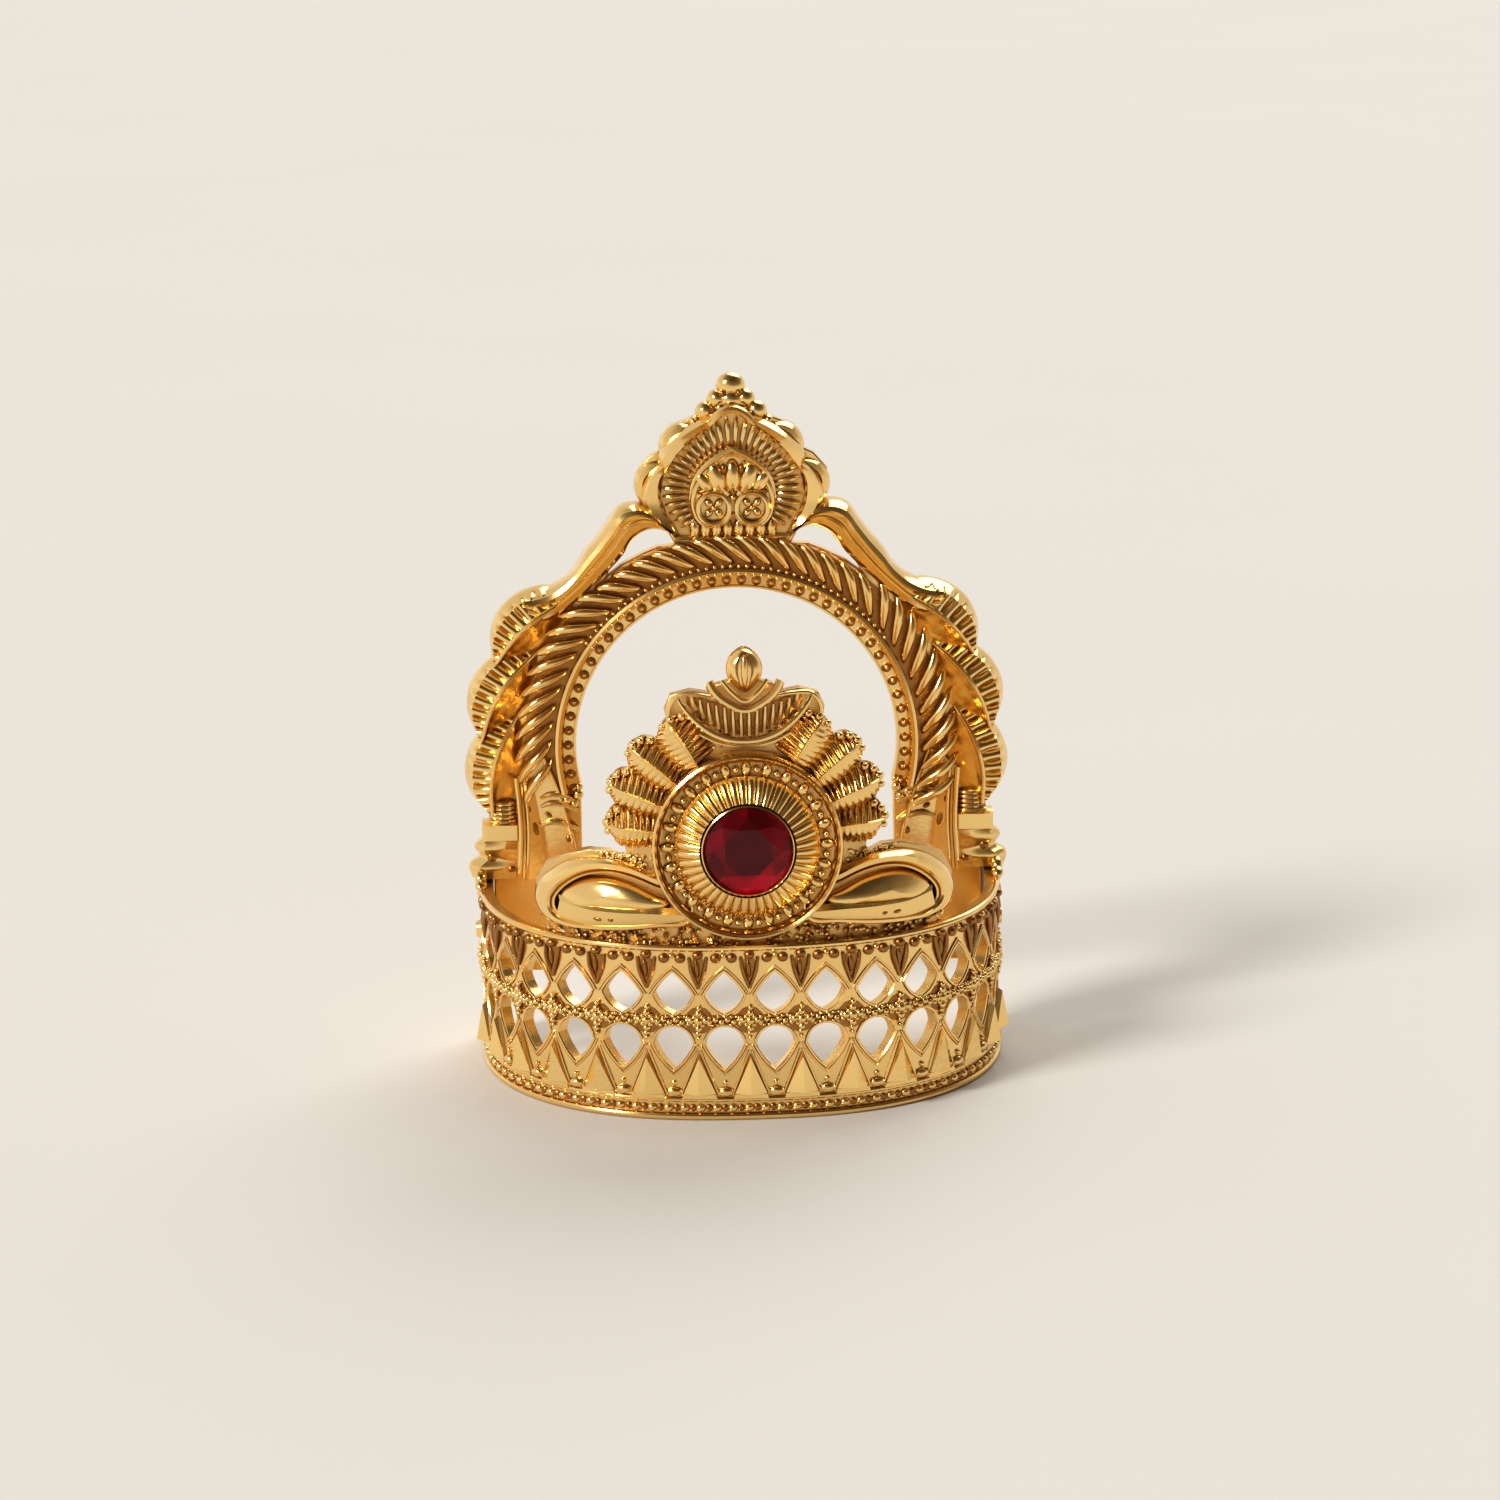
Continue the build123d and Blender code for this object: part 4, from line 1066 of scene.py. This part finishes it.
class CROWN_OT_pediment(bpy.types.Operator):
    """Builds the pediment's frame, sunburst, heart, petals and finial"""

    bl_idname = "crown.pediment"
    bl_label = "Pediment"

    def execute(self, context):
        rosette_edge = raised(circle(1.85, 53.85, 1.5, 10), 1.85, 0.27)
        parts = [
            strip(lifted(FRAME_LOWER, (1.2, 2.3, 1.9, 0.8)), POLISH, 30, 3, -0.5),
            strip(lifted(FRAME_UPPER, (1.3, 2.5, 1.9, 0.8)), POLISH, 30, 3, -0.5),
            wires([rosette_edge], POLISH, 8, 4, True),
        ]
        for across, up, size, first, last in ((4.55, 59.6, 2.5, -38, 155), (6.95, 56.0, 2.55, -55, 130)):
            turns = np.radians(np.linspace(first, last, 9))
            rails = []
            for reach, out in ((1.0, -0.2), (0.98, 0.5), (0.86, 1.1), (0.68, 1.2), (0.56, 0.8), (0.5, -0.1)):
                rails.append(
                    [(across + reach * size * cos(a), up + reach * size * sin(a), out) for a in turns]
                )
            parts.append(strip(rails, POLISH, 36, 2, -0.85))
        # The gouges are dark with painted shade
        gouges = [put(0.85, 57.7, 1.9, 0.27, 0.5, 0.4, -8), put(2.5, 55.55, 1.45, 0.95, 0.36, 0.4, -14)]
        petals = [
            put(1.85, 53.85, 1.6, 0.3, 0.3, 0.35), put(1.5, 56.7, 1.3, 0.95, 1.75, 0.95, -18),
            put(2.7, 56.3, 1.2, 0.75, 1.35, 0.8, -34), put(0.65, 55.35, 1.4, 0.5, 0.7, 0.5, 10),
        ]
        for turn in (45, 135, 225, 315):
            x = 1.85 + 0.68 * cos(radians(turn))
            y = 53.85 + 0.68 * sin(radians(turn))
            petals.append(put(x, y, 1.6, 0.34, 0.46, 0.4, turn - 90))
        parts += [beads(gouges, SHADED_PIT), beads(petals, POLISH, 16, 10)]
        right = both_sides(joined("pediment_half", parts))

        heart = [*HEART, *mirror_of(HEART[1:-1])]
        plate = cut_plate([smooth_line(heart, 64, True)], POLISH, 0.3, 1.3, 0.1)
        edge = wires([raised(heart, 1.45, 0.24)], POLISH, 8, 4, True)
        # The ground behind the heart is darkened a little with painted shade
        ground = cut_plate([[*GROUND_FACE, *mirror_of(GROUND_FACE[1:])]], GROUND, -0.2, 0.95, 0.05)
        skirt = beads(
            [put(x, 51.75, 1.1, 0.52, 1.0, 0.62) for x in np.linspace(-3.75, 3.75, 8)], POLISH, 16, 10
        )
        lines = [
            [
                (-2.2, 62.1, 2.1, 0.34), (-1.2, 63.1, 2.2, 0.4), (0, 63.55, 2.25, 0.42),
                (1.2, 63.1, 2.2, 0.4), (2.2, 62.1, 2.1, 0.34),
            ],
            [(-5.6, 50.95, 1.2, 0.2), (0, 50.85, 1.3, 0.22), (5.6, 50.95, 1.2, 0.2)],
        ]
        lines += on_sides(
            [(4.15, 54.6, 1.2, 0.1), (3.7, 56.6, 1.5, 0.22), (2.2, 58.4, 1.65, 0.34), (0, 59.7, 1.7, 0.36)]
        )
        # Each ray starts at the edge of an egg-shaped centre and ends inside the frame
        for angle in np.linspace(-34, 214, 34):
            a = radians(angle)
            end = np.interp(min(angle, 180 - angle), *zip(*RAYS)) - 0.15
            start = 1 / sqrt((cos(a) / 4.2) ** 2 + (sin(a) / (4.25 if 0 < a < pi else 3.8)) ** 2)
            run = np.linspace(min(start, end - 1.2), end, 4)
            ray = [(r * cos(a), 55.4 + r * sin(a), out) for r, out in zip(run, (0.95, 1.25, 1.25, 1.0))]
            lines.append(thickened(ray, (0.12, 0.21, 0.27, 0.16)))

        finial = [
            put(0, 65.5, 0, 1.42, 1.3, 1.35), put(0, 64.2, 0.3, 1.35, 1.05, 1.3), put(0, 54.85, 1.7, 0.28),
            put(0, 56.9, 1.35, 0.85, 1.75, 1.05),
        ]
        # The sockets are dark with painted shade
        sockets = [put(0, 55.45, 2.1, 0.2, 0.35, 0.3)]
        for s in SIDES:
            finial += [
                put(s * 1.35, 64.25, 0.3, 1.0, 1.0, 1.15),
                put(s * 2.45, 63.1, 0.35, 1.05, 1.0, 1.15, s * -25),
                put(s * 0.95, 63.5, 0.5, 0.8, 0.55, 0.9), put(s * 3.6, 62.2, 0.1, 0.55, 0.5, 1.0, s * -25),
            ]
            sockets += [
                put(s * 0.8, 64.9, 1.15, 0.3, 0.34, 0.3),
                put(s * 1.75, 62.85, 1.35, 0.6, 0.3, 0.3, s * -20),
            ]
        balls = [beads(finial, POLISH, 20, 12), ground, beads(sockets, SHADED_PIT), skirt]
        pediment = joined("pediment", [right, plate, edge, wires(lines, POLISH, 8, 3)] + balls)
        finished(stand(pediment), "arch", 38)
        return {"FINISHED"}


# Outline of the crest's plate on the right: round the crescent and the bud, and round the loop
CREST_TOP = (
    (7.0, 10.6), (7.4, 12.0), (6.8, 13.4), (5.0, 13.9), (3.2, 13.6), (2.6, 14.4), (1.2, 14.8), (0, 15.2),
)
CREST_FOOT = (
    (12.6, 25.5), (14.6, 25.4), (16.9, 24.6), (18.7, 23.2), (19.7, 21.2), (19.7, 18.2), (17.4, 17.2),
    (15.0, 14.9),
)
# Crescent under the bud and the collars in it: across, up, out and thickness, from the
# middle outwards
CRESCENT = (
    (
        (0, 36.75, 2.0, 0.3), (2.4, 37.2, 2.0, 0.33), (4.3, 38.4, 1.9, 0.33), (5.7, 39.9, 1.6, 0.26),
        (6.1, 40.5, 1.3, 0.18),
    ),
    ((0, 36.15, 1.5, 0.2), (2.4, 36.5, 1.5, 0.2), (4.2, 37.3, 1.4, 0.18)),
    ((0, 39.6, 1.8, 0.34), (1.5, 40.2, 1.8, 0.38), (2.8, 41.3, 1.7, 0.42), (3.3, 42.2, 1.5, 0.46)),
    ((0, 40.5, 1.9, 0.26), (1.0, 41.1, 1.9, 0.28), (2.1, 42.3, 1.5, 0.2)),
)
CRESCENT_TIP = (
    (3.0, 40.75, 1.2, 0.16), (4.6, 40.95, 1.2, 0.2), (6.2, 40.75, 1.1, 0.22), (6.9, 39.9, 1.0, 0.22),
    (7.1, 38.8, 0.9, 0.2),
)
# The bud's outline, both edges of the right loop and the outline of the drop in it
ALMOND = (
    (0, 45.1), (0.95, 44.6), (1.6, 43.7), (1.65, 42.7), (1.15, 41.7), (0, 40.9), (-1.15, 41.7), (-1.65, 42.7),
    (-1.6, 43.7), (-0.95, 44.6),
)
LOOP_OUTER = (
    (5.4, 22.5), (8.4, 23.7), (10.6, 24.6), (12.8, 25.0), (14.9, 24.8), (16.8, 24.0), (18.4, 22.7),
    (19.5, 21.2), (19.9, 19.8), (19.5, 18.5), (18.0, 17.9), (15.0, 17.9), (11.6, 18.2), (8.4, 18.7),
    (5.4, 19.2),
)
LOOP_INNER = (
    (5.6, 21.2), (8.6, 22.5), (10.7, 23.3), (12.7, 23.6), (14.5, 23.3), (16.0, 22.5), (17.2, 21.4),
    (17.8, 20.5), (17.9, 19.7), (17.5, 19.1), (16.7, 18.8), (14.8, 18.8), (11.6, 19.1), (8.6, 19.5),
    (5.6, 19.8),
)
# Section of a loop, as share of the way from its outer to its inner line, and out
LOOP_SECTION = (
    (0, 0.3), (0.06, 1.2), (0.25, 1.75), (0.55, 1.8), (0.7, 1.5), (0.76, 1.2), (0.84, 1.5), (0.94, 1.4),
    (1, 0.2),
)
PAISLEY = (
    (7.2, 20.9), (9.2, 22.0), (11.2, 22.8), (13.1, 23.1), (14.8, 22.9), (16.5, 22.0), (17.5, 20.8),
    (17.2, 19.9), (14.8, 20.0), (12.6, 20.1), (10.2, 20.3), (8.2, 20.4),
)
# The lip in front of each drop, from its back edge over its top to its low edge
LIP = (
    ((5.4, 20.5, 1.2), (8.5, 20.7, 1.5), (12.6, 20.6, 1.6), (15.2, 20.6, 1.6), (17.6, 20.8, 1.3)),
    ((5.4, 20.0, 1.6), (8.5, 20.2, 2.1), (12.6, 20.15, 2.3), (15.2, 20.15, 2.2), (17.5, 20.4, 1.7)),
    ((5.4, 19.4, 1.5), (8.5, 19.3, 1.9), (12.6, 19.0, 2.1), (15.2, 18.8, 2.0), (17.8, 19.0, 1.6)),
    ((5.4, 18.8, 1.0), (8.5, 18.6, 1.2), (12.6, 18.1, 1.2), (15.2, 17.9, 1.2), (18.0, 18.1, 1.1)),
)


class CROWN_OT_crest(bpy.types.Operator):
    """Builds the crest's plate, leaves, crescent, bud and loops"""

    bl_idname = "crown.crest"
    bl_label = "Crest"

    def execute(self, context):
        size = context.scene.crown_crest
        middle = mm(size.middle)
        turns = np.linspace(radians(58), radians(-12), 18)
        right = [(x, middle + up) for x, up in reversed(CREST_TOP)]
        right += [(11.3 * cos(a), middle + 11.3 * sin(a)) for a in turns]
        right += CREST_FOOT
        # The ground plate is darkened a little with painted shade
        ground = cut_plate([right + mirror_of(right[1:])], GROUND, -mm(size.plate), 0.15, 0.1)
        slice_up(ground, np.linspace(-16, 16, 17))

        # Four folded leaves on each side, each with small knobs along its tip
        parts = []
        tips = []
        for axis, reach, wide in (
            (57.5, 13.3, 1.3), (39.0, 13.7, 1.06), (21.5, 13.6, 1.04), (4.5, 13.1, 0.98),
        ):
            leaf = (
                (
                    (8.4, 1.5, 0.4), (10.2, 2.1, 0.5), (12.0, 2.1, 0.5), (reach - 0.5, 1.45, 0.5),
                    (reach, 0.4, 0.6),
                ),
                (
                    (8.4, 0.0, 1.5), (10.2, 0.1, 2.0), (12.0, 0.05, 2.0), (reach - 0.6, 0.0, 1.7),
                    (reach + 0.02, 0.0, 1.1),
                ),
                (
                    (8.4, -0.6, 1.4), (10.2, -0.8, 1.85), (12.0, -0.8, 1.85), (reach - 0.7, -0.6, 1.5),
                    (reach, -0.2, 0.95),
                ),
                (
                    (8.4, -1.5, 0.6), (10.2, -1.9, 0.7), (11.9, -1.75, 0.6), (reach - 0.8, -1.25, 0.5),
                    (reach - 0.1, -0.5, 0.5),
                ),
            )
            turn = radians(axis)
            upper, ridge, belly, lower = (set_round(middle, turn, line, wide) for line in leaf)
            parts += [
                strip([upper, ridge], POLISH, 72, 4, -0.6, False, 9, 0.75, (0.9, 1, 1, 0.9, 0.2)),
                strip([ridge, belly, lower], POLISH, 72, 3, -0.6, False, 9, 0.5, (0, 0.25, 0.8, 1)),
                wires([thickened(ridge, (0.1, 0.16, 0.17, 0.15, 0.1))], POLISH, 6, 5),
            ]
            places = raised(
                ((reach - 0.1, 0.2), (reach - 0.35, 1.0), (reach - 1.0, 1.6), (reach - 0.25, -0.6)), 0.95
            )
            knobs = thickened(set_round(middle, turn, places, wide), (0.42, 0.38, 0.36, 0.34))
            tips += [put(*knob) for knob in knobs]

        # The ribbed crescent and the bud in its collar
        runs = [mirror_of(line) + list(line[1:]) for line in CRESCENT]
        lines = wires(runs + [mirror_of(CRESCENT_TIP), CRESCENT_TIP], POLISH, 8, 6)
        ribs = []
        for x in np.linspace(-4.9, 4.9, 14):
            top = 39.5 + 0.052 * x * x
            bottom = 36.9 + 0.105 * x * x
            ribs.append([
                (x, top, 0.9, 0.15), (x * 0.97, (top + bottom) / 2, 0.85, 0.23),
                (x * 0.92, bottom, 1.1, 0.2),
            ])
        # The grooves along the crescent and the bud's veins are dark with painted shade
        places = np.linspace(-5.3, 5.3, 7)
        grooves = [
            [(x, base + bow * x * x, 0.5) for x in places] for base, bow in ((36.9, 0.105), (39.6, 0.052))
        ]
        veins = on_sides([(0.25, 44.85, 1.25, 0.06), (0.72, 43.6, 1.62, 0.13), (0.45, 42.0, 1.5, 0.08)])
        bud = [
            pillow(raised(ALMOND, 0.4), (0, 43.1, 0.4), POLISH, 1.3, -0.5, 40, 8, 0.7),
            beads([put(0, 43.1, 1.3, 0.42, 1.6, 0.65)], POLISH, 16, 10),
            wires(veins, SHADED_PIT, 6, 4),
        ]

        # Fine grains scattered round the medallion, along the foot and over the loops
        grains = []
        rng = np.random.default_rng(7)
        for _ in range(170):
            a = radians(rng.uniform(-6, 186))
            r = rng.uniform(8.9, 11.2)
            grains.append(put(r * cos(a), middle + r * sin(a), 0.2, 0.24, 0.24, rng.uniform(0.2, 0.5)))
        for _ in range(330):
            x = rng.uniform(0.0, 18.8) * rng.choice((-1, 1))
            grains.append(put(x, rng.uniform(16.3, 18.9), 0.3, 0.26, 0.26, rng.uniform(0.3, 0.7)))
        for _ in range(120):
            x = rng.uniform(9.4, 14.0) * rng.choice((-1, 1))
            grains.append(put(x, rng.uniform(24.2, 25.3), 0.15, 0.24, 0.24, rng.uniform(0.2, 0.45)))

        outer, inner = (smooth_line(line, 60, True) for line in (LOOP_OUTER, LOOP_INNER))
        # The two pits on the lip are dark with painted shade
        pits = [put(14.0, 19.3, 2.12, 0.42, 0.2, 0.16, 5), put(12.8, 19.35, 2.17, 0.28, 0.17, 0.14, 5)]
        dome = [(x, y, 0.1 + 0.35 * (23.1 - y)) for x, y in PAISLEY]
        section = [raised(outer + t * (inner - outer), out) for t, out in LOOP_SECTION]
        loop = [
            strip(section, POLISH, 72, 1, -0.9, True),
            pillow(dome, (13.4, 21.4, 0.85), POLISH, 1.0, -0.5, 48, 9, 0.75),
            strip(LIP, POLISH, 36, 3, -0.3),
            beads(pits, SHADED_PIT),
        ]
        front = [
            ground,
            both_sides(joined("leaves", parts)),
            wires(ribs, POLISH, 6, 3),
            strip(grooves, SHADED_PIT, 24, 2, 0.0),
            beads(grains, CAST, 6, 4),
            both_sides(beads(tips, POLISH, 10, 7)),
            both_sides(joined("loops", loop)),
            lines,
        ]
        crest = joined("crest_front", front + bud)
        finished(stand(crest, "pressed", mm(size.radius)), "crest", 36)
        return {"FINISHED"}


class CROWN_OT_medallion(bpy.types.Operator):
    """Builds the fluted medallion that holds the stone"""

    bl_idname = "crown.medallion"
    bl_label = "Medallion"

    def execute(self, context):
        size = context.scene.crown_crest
        middle = mm(size.middle - size.drop)
        boss = mm(size.boss)
        stone = mm(size.stone)
        back = mm(size.radius) + 0.12
        body = (
            (0.6, 0), (0.95 * boss, 0), (boss - 0.02, 0.6), (boss, 1.6), (boss - 0.1, 2.05),
            (boss - 0.3, 2.2), (boss - 0.5, 2.0), (boss - 0.54, 1.75), (boss - 0.66, 1.95),
            (boss - 0.78, 1.7), (boss - 0.82, 0.9), (6.45, 0.9), (6.4, 1.5), (4.7, 2.6), (0.6, 1.2),
        )
        channel = ((6.4, 0.8), (7.9, 0.8), (7.9, 1.0), (6.4, 1.0))
        collar = (
            (stone + 0.03, 1.9), (stone + 0.03, 3.18), (stone + 0.1, 3.28), (stone + 0.2, 3.2),
            (stone + 0.28, 1.9),
        )
        rails = []
        for radius, out in ((6.8, 0.8), (6.72, 1.75), (6.4, 2.15), (5.4, 2.85), (4.5, 3.25), (4.35, 2.6)):
            rails.append(raised(circle(0, middle, radius, 90), back + out))
        steps = 8 * size.flutes + 1
        parts = [
            spun([(r, back + out) for r, out in body], middle, POLISH, steps=120),
            strip(rails, POLISH, steps, 2, back + 0.5, True, size.flutes, 0.42, (0, 0.6, 1, 1, 0.9, 0.6, 0)),
            spun([(r, back + out) for r, out in collar], middle, POLISH, steps=72),
        ]
        # Grains in the channel, with a longer one lying between each two
        grains = []
        step = 360 / size.grains
        for i in range(size.grains):
            grains.append(put(*round_point(middle, 7.35, (i + 0.5) * step, back + 1.35), 0.34, 0.34, 0.5))
            grains.append(put(*round_point(middle, 7.35, i * step, back + 1.1), 0.74, 0.5, 0.5, i * step))
        parts.append(beads(grains, POLISH))
        # The channel's floor is darkened a little with painted shade
        parts.append(spun([(r, back + out) for r, out in channel], middle, GROUND, steps=90))
        finished(stand(joined("medallion_face", parts)), "medallion", 34)
        low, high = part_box("stone")
        gem = cut_stone(middle, stone + 0.05, mm(-high[1]), back + 2.95, mm(-low[1]) + 0.5, "ruby")
        finished(stand(gem), "stone", 1)
        return {"FINISHED"}


# Tones of the room round the crown, from its dark side to the bright one that BRIGHT_WAY points at
ROOM = (
    (0.2, (0.24, 0.19, 0.14, 1)),
    (0.32, (0.72, 0.66, 0.58, 1)),
    (0.5, (0.8, 0.75, 0.69, 1)),
    (0.68, (1.0, 0.97, 0.93, 1)),
)
BRIGHT_WAY = (-0.3, 0.34, -0.89)
# The point that the camera looks at
AIM = Vector((0.00096, -0.010, 0.03187))


class CROWN_OT_stage(bpy.types.Operator):
    """Sets the floor, the soft light and the camera"""

    bl_idname = "crown.stage"
    bl_label = "Stage"

    def execute(self, context):
        size = context.scene.crown_stage
        clear_selection()
        bpy.ops.mesh.primitive_grid_add(x_subdivisions=24, y_subdivisions=24, size=8.0)
        floor = context.view_layer.objects.active
        floor.name = "floor"
        made, tree, shader, where = new_finish("pale_floor")
        shader.inputs["Roughness"].default_value = 0.85
        tone = mixed(tree, clouds(tree, where, 9.0), [0.96 * part for part in size.floor], size.floor)
        tree.links.new(tone, shader.inputs["Base Color"])
        made_of(floor, made.name)

        world = bpy.data.worlds.new("studio")
        context.scene.world = world
        world.use_nodes = True
        sky = world.node_tree
        back = sky.nodes["Background"]
        back.inputs["Strength"].default_value = 0.95
        way = sky.nodes.new("ShaderNodeTexCoord").outputs["Generated"]
        facing = sky.nodes.new("ShaderNodeVectorMath")
        facing.operation = "DOT_PRODUCT"
        facing.inputs[1].default_value = BRIGHT_WAY
        turned = sky.nodes.new("ShaderNodeMapRange")
        turned.inputs["From Min"].default_value = -1.0
        front = sky.nodes.new("ShaderNodeValToRGB")
        ramp = front.color_ramp
        ramp.elements[0].color = (0.06, 0.045, 0.03, 1)
        ramp.elements[1].color = (1.0, 0.97, 0.93, 1)
        for position, tint in ROOM:
            ramp.elements.new(position).color = tint
        sky.links.new(way, facing.inputs[0])
        sky.links.new(facing.outputs["Value"], turned.inputs["Value"])
        sky.links.new(turned.outputs["Result"], front.inputs["Fac"])
        sky.links.new(front.outputs["Color"], back.inputs["Color"])

        def softlight(name, place, strength, spread_angle, tint):
            """A far soft light, even over the whole floor."""
            lamp = bpy.data.lights.new(name, "SUN")
            lamp.energy = strength
            lamp.angle = radians(spread_angle)
            lamp.color = tint
            holder = shown(name, lamp)
            holder.location = place
            holder.rotation_euler = (-Vector(place)).to_track_quat("-Z", "Y").to_euler()

        softlight("window", (-0.6, -0.42, 0.55), 2.3, 16, (1.0, 0.97, 0.93))
        softlight("ceiling", (0.25, 0.6, 0.7), 1.5, 45, (1.0, 0.98, 0.95))

        camera = shown("camera", bpy.data.cameras.new("camera"))
        level = size.distance * cos(size.pitch)
        away = (level * sin(size.turn), -level * cos(size.turn), size.distance * sin(size.pitch))
        camera.location = AIM + Vector(away)
        view = (AIM - camera.location).to_track_quat("-Z", "Y")
        camera.rotation_euler = (view @ Quaternion((0, 0, 1), size.roll)).to_euler()
        camera.data.lens = size.lens
        camera.data.sensor_width = 36
        camera.data.clip_start = 0.01
        context.scene.camera = camera
        context.scene.view_settings.view_transform = "Standard"
        return {"FINISHED"}


STEPS = (
    CROWN_OT_materials,
    CROWN_OT_stage,
    CROWN_OT_band,
    CROWN_OT_arch,
    CROWN_OT_rope,
    CROWN_OT_pediment,
    CROWN_OT_crest,
    CROWN_OT_medallion,
)


class CROWN_PT_panel(bpy.types.Panel):
    """Sizes, colours and steps of the crown"""

    bl_idname = "CROWN_PT_panel"
    bl_label = "Mukut crown"
    bl_space_type = "VIEW_3D"
    bl_region_type = "UI"
    bl_category = "Crown"

    def draw(self, context):
        for group, step in GROUPS:
            box = self.layout.box()
            for name in step.__annotations__:
                box.prop(getattr(context.scene, group), name)
        for step in STEPS:
            self.layout.operator(step.bl_idname)


GROUPS = (
    ("crown_band", CrownBand),
    ("crown_arch", CrownArch),
    ("crown_crest", CrownCrest),
    ("crown_finish", CrownFinish),
    ("crown_stage", CrownStage),
)


def register():
    for group, kind in GROUPS:
        bpy.utils.register_class(kind)
        setattr(bpy.types.Scene, group, PointerProperty(type=kind))
    for step in STEPS:
        bpy.utils.register_class(step)
    bpy.utils.register_class(CROWN_PT_panel)


def unregister():
    bpy.utils.unregister_class(CROWN_PT_panel)
    for step in reversed(STEPS):
        bpy.utils.unregister_class(step)
    for group, kind in GROUPS:
        delattr(bpy.types.Scene, group)
        bpy.utils.unregister_class(kind)


def main():
    """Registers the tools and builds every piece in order."""
    register()
    for step in STEPS:
        family, name = step.bl_idname.split(".")
        getattr(getattr(bpy.ops, family), name)()


if __name__ == "__main__":
    main()
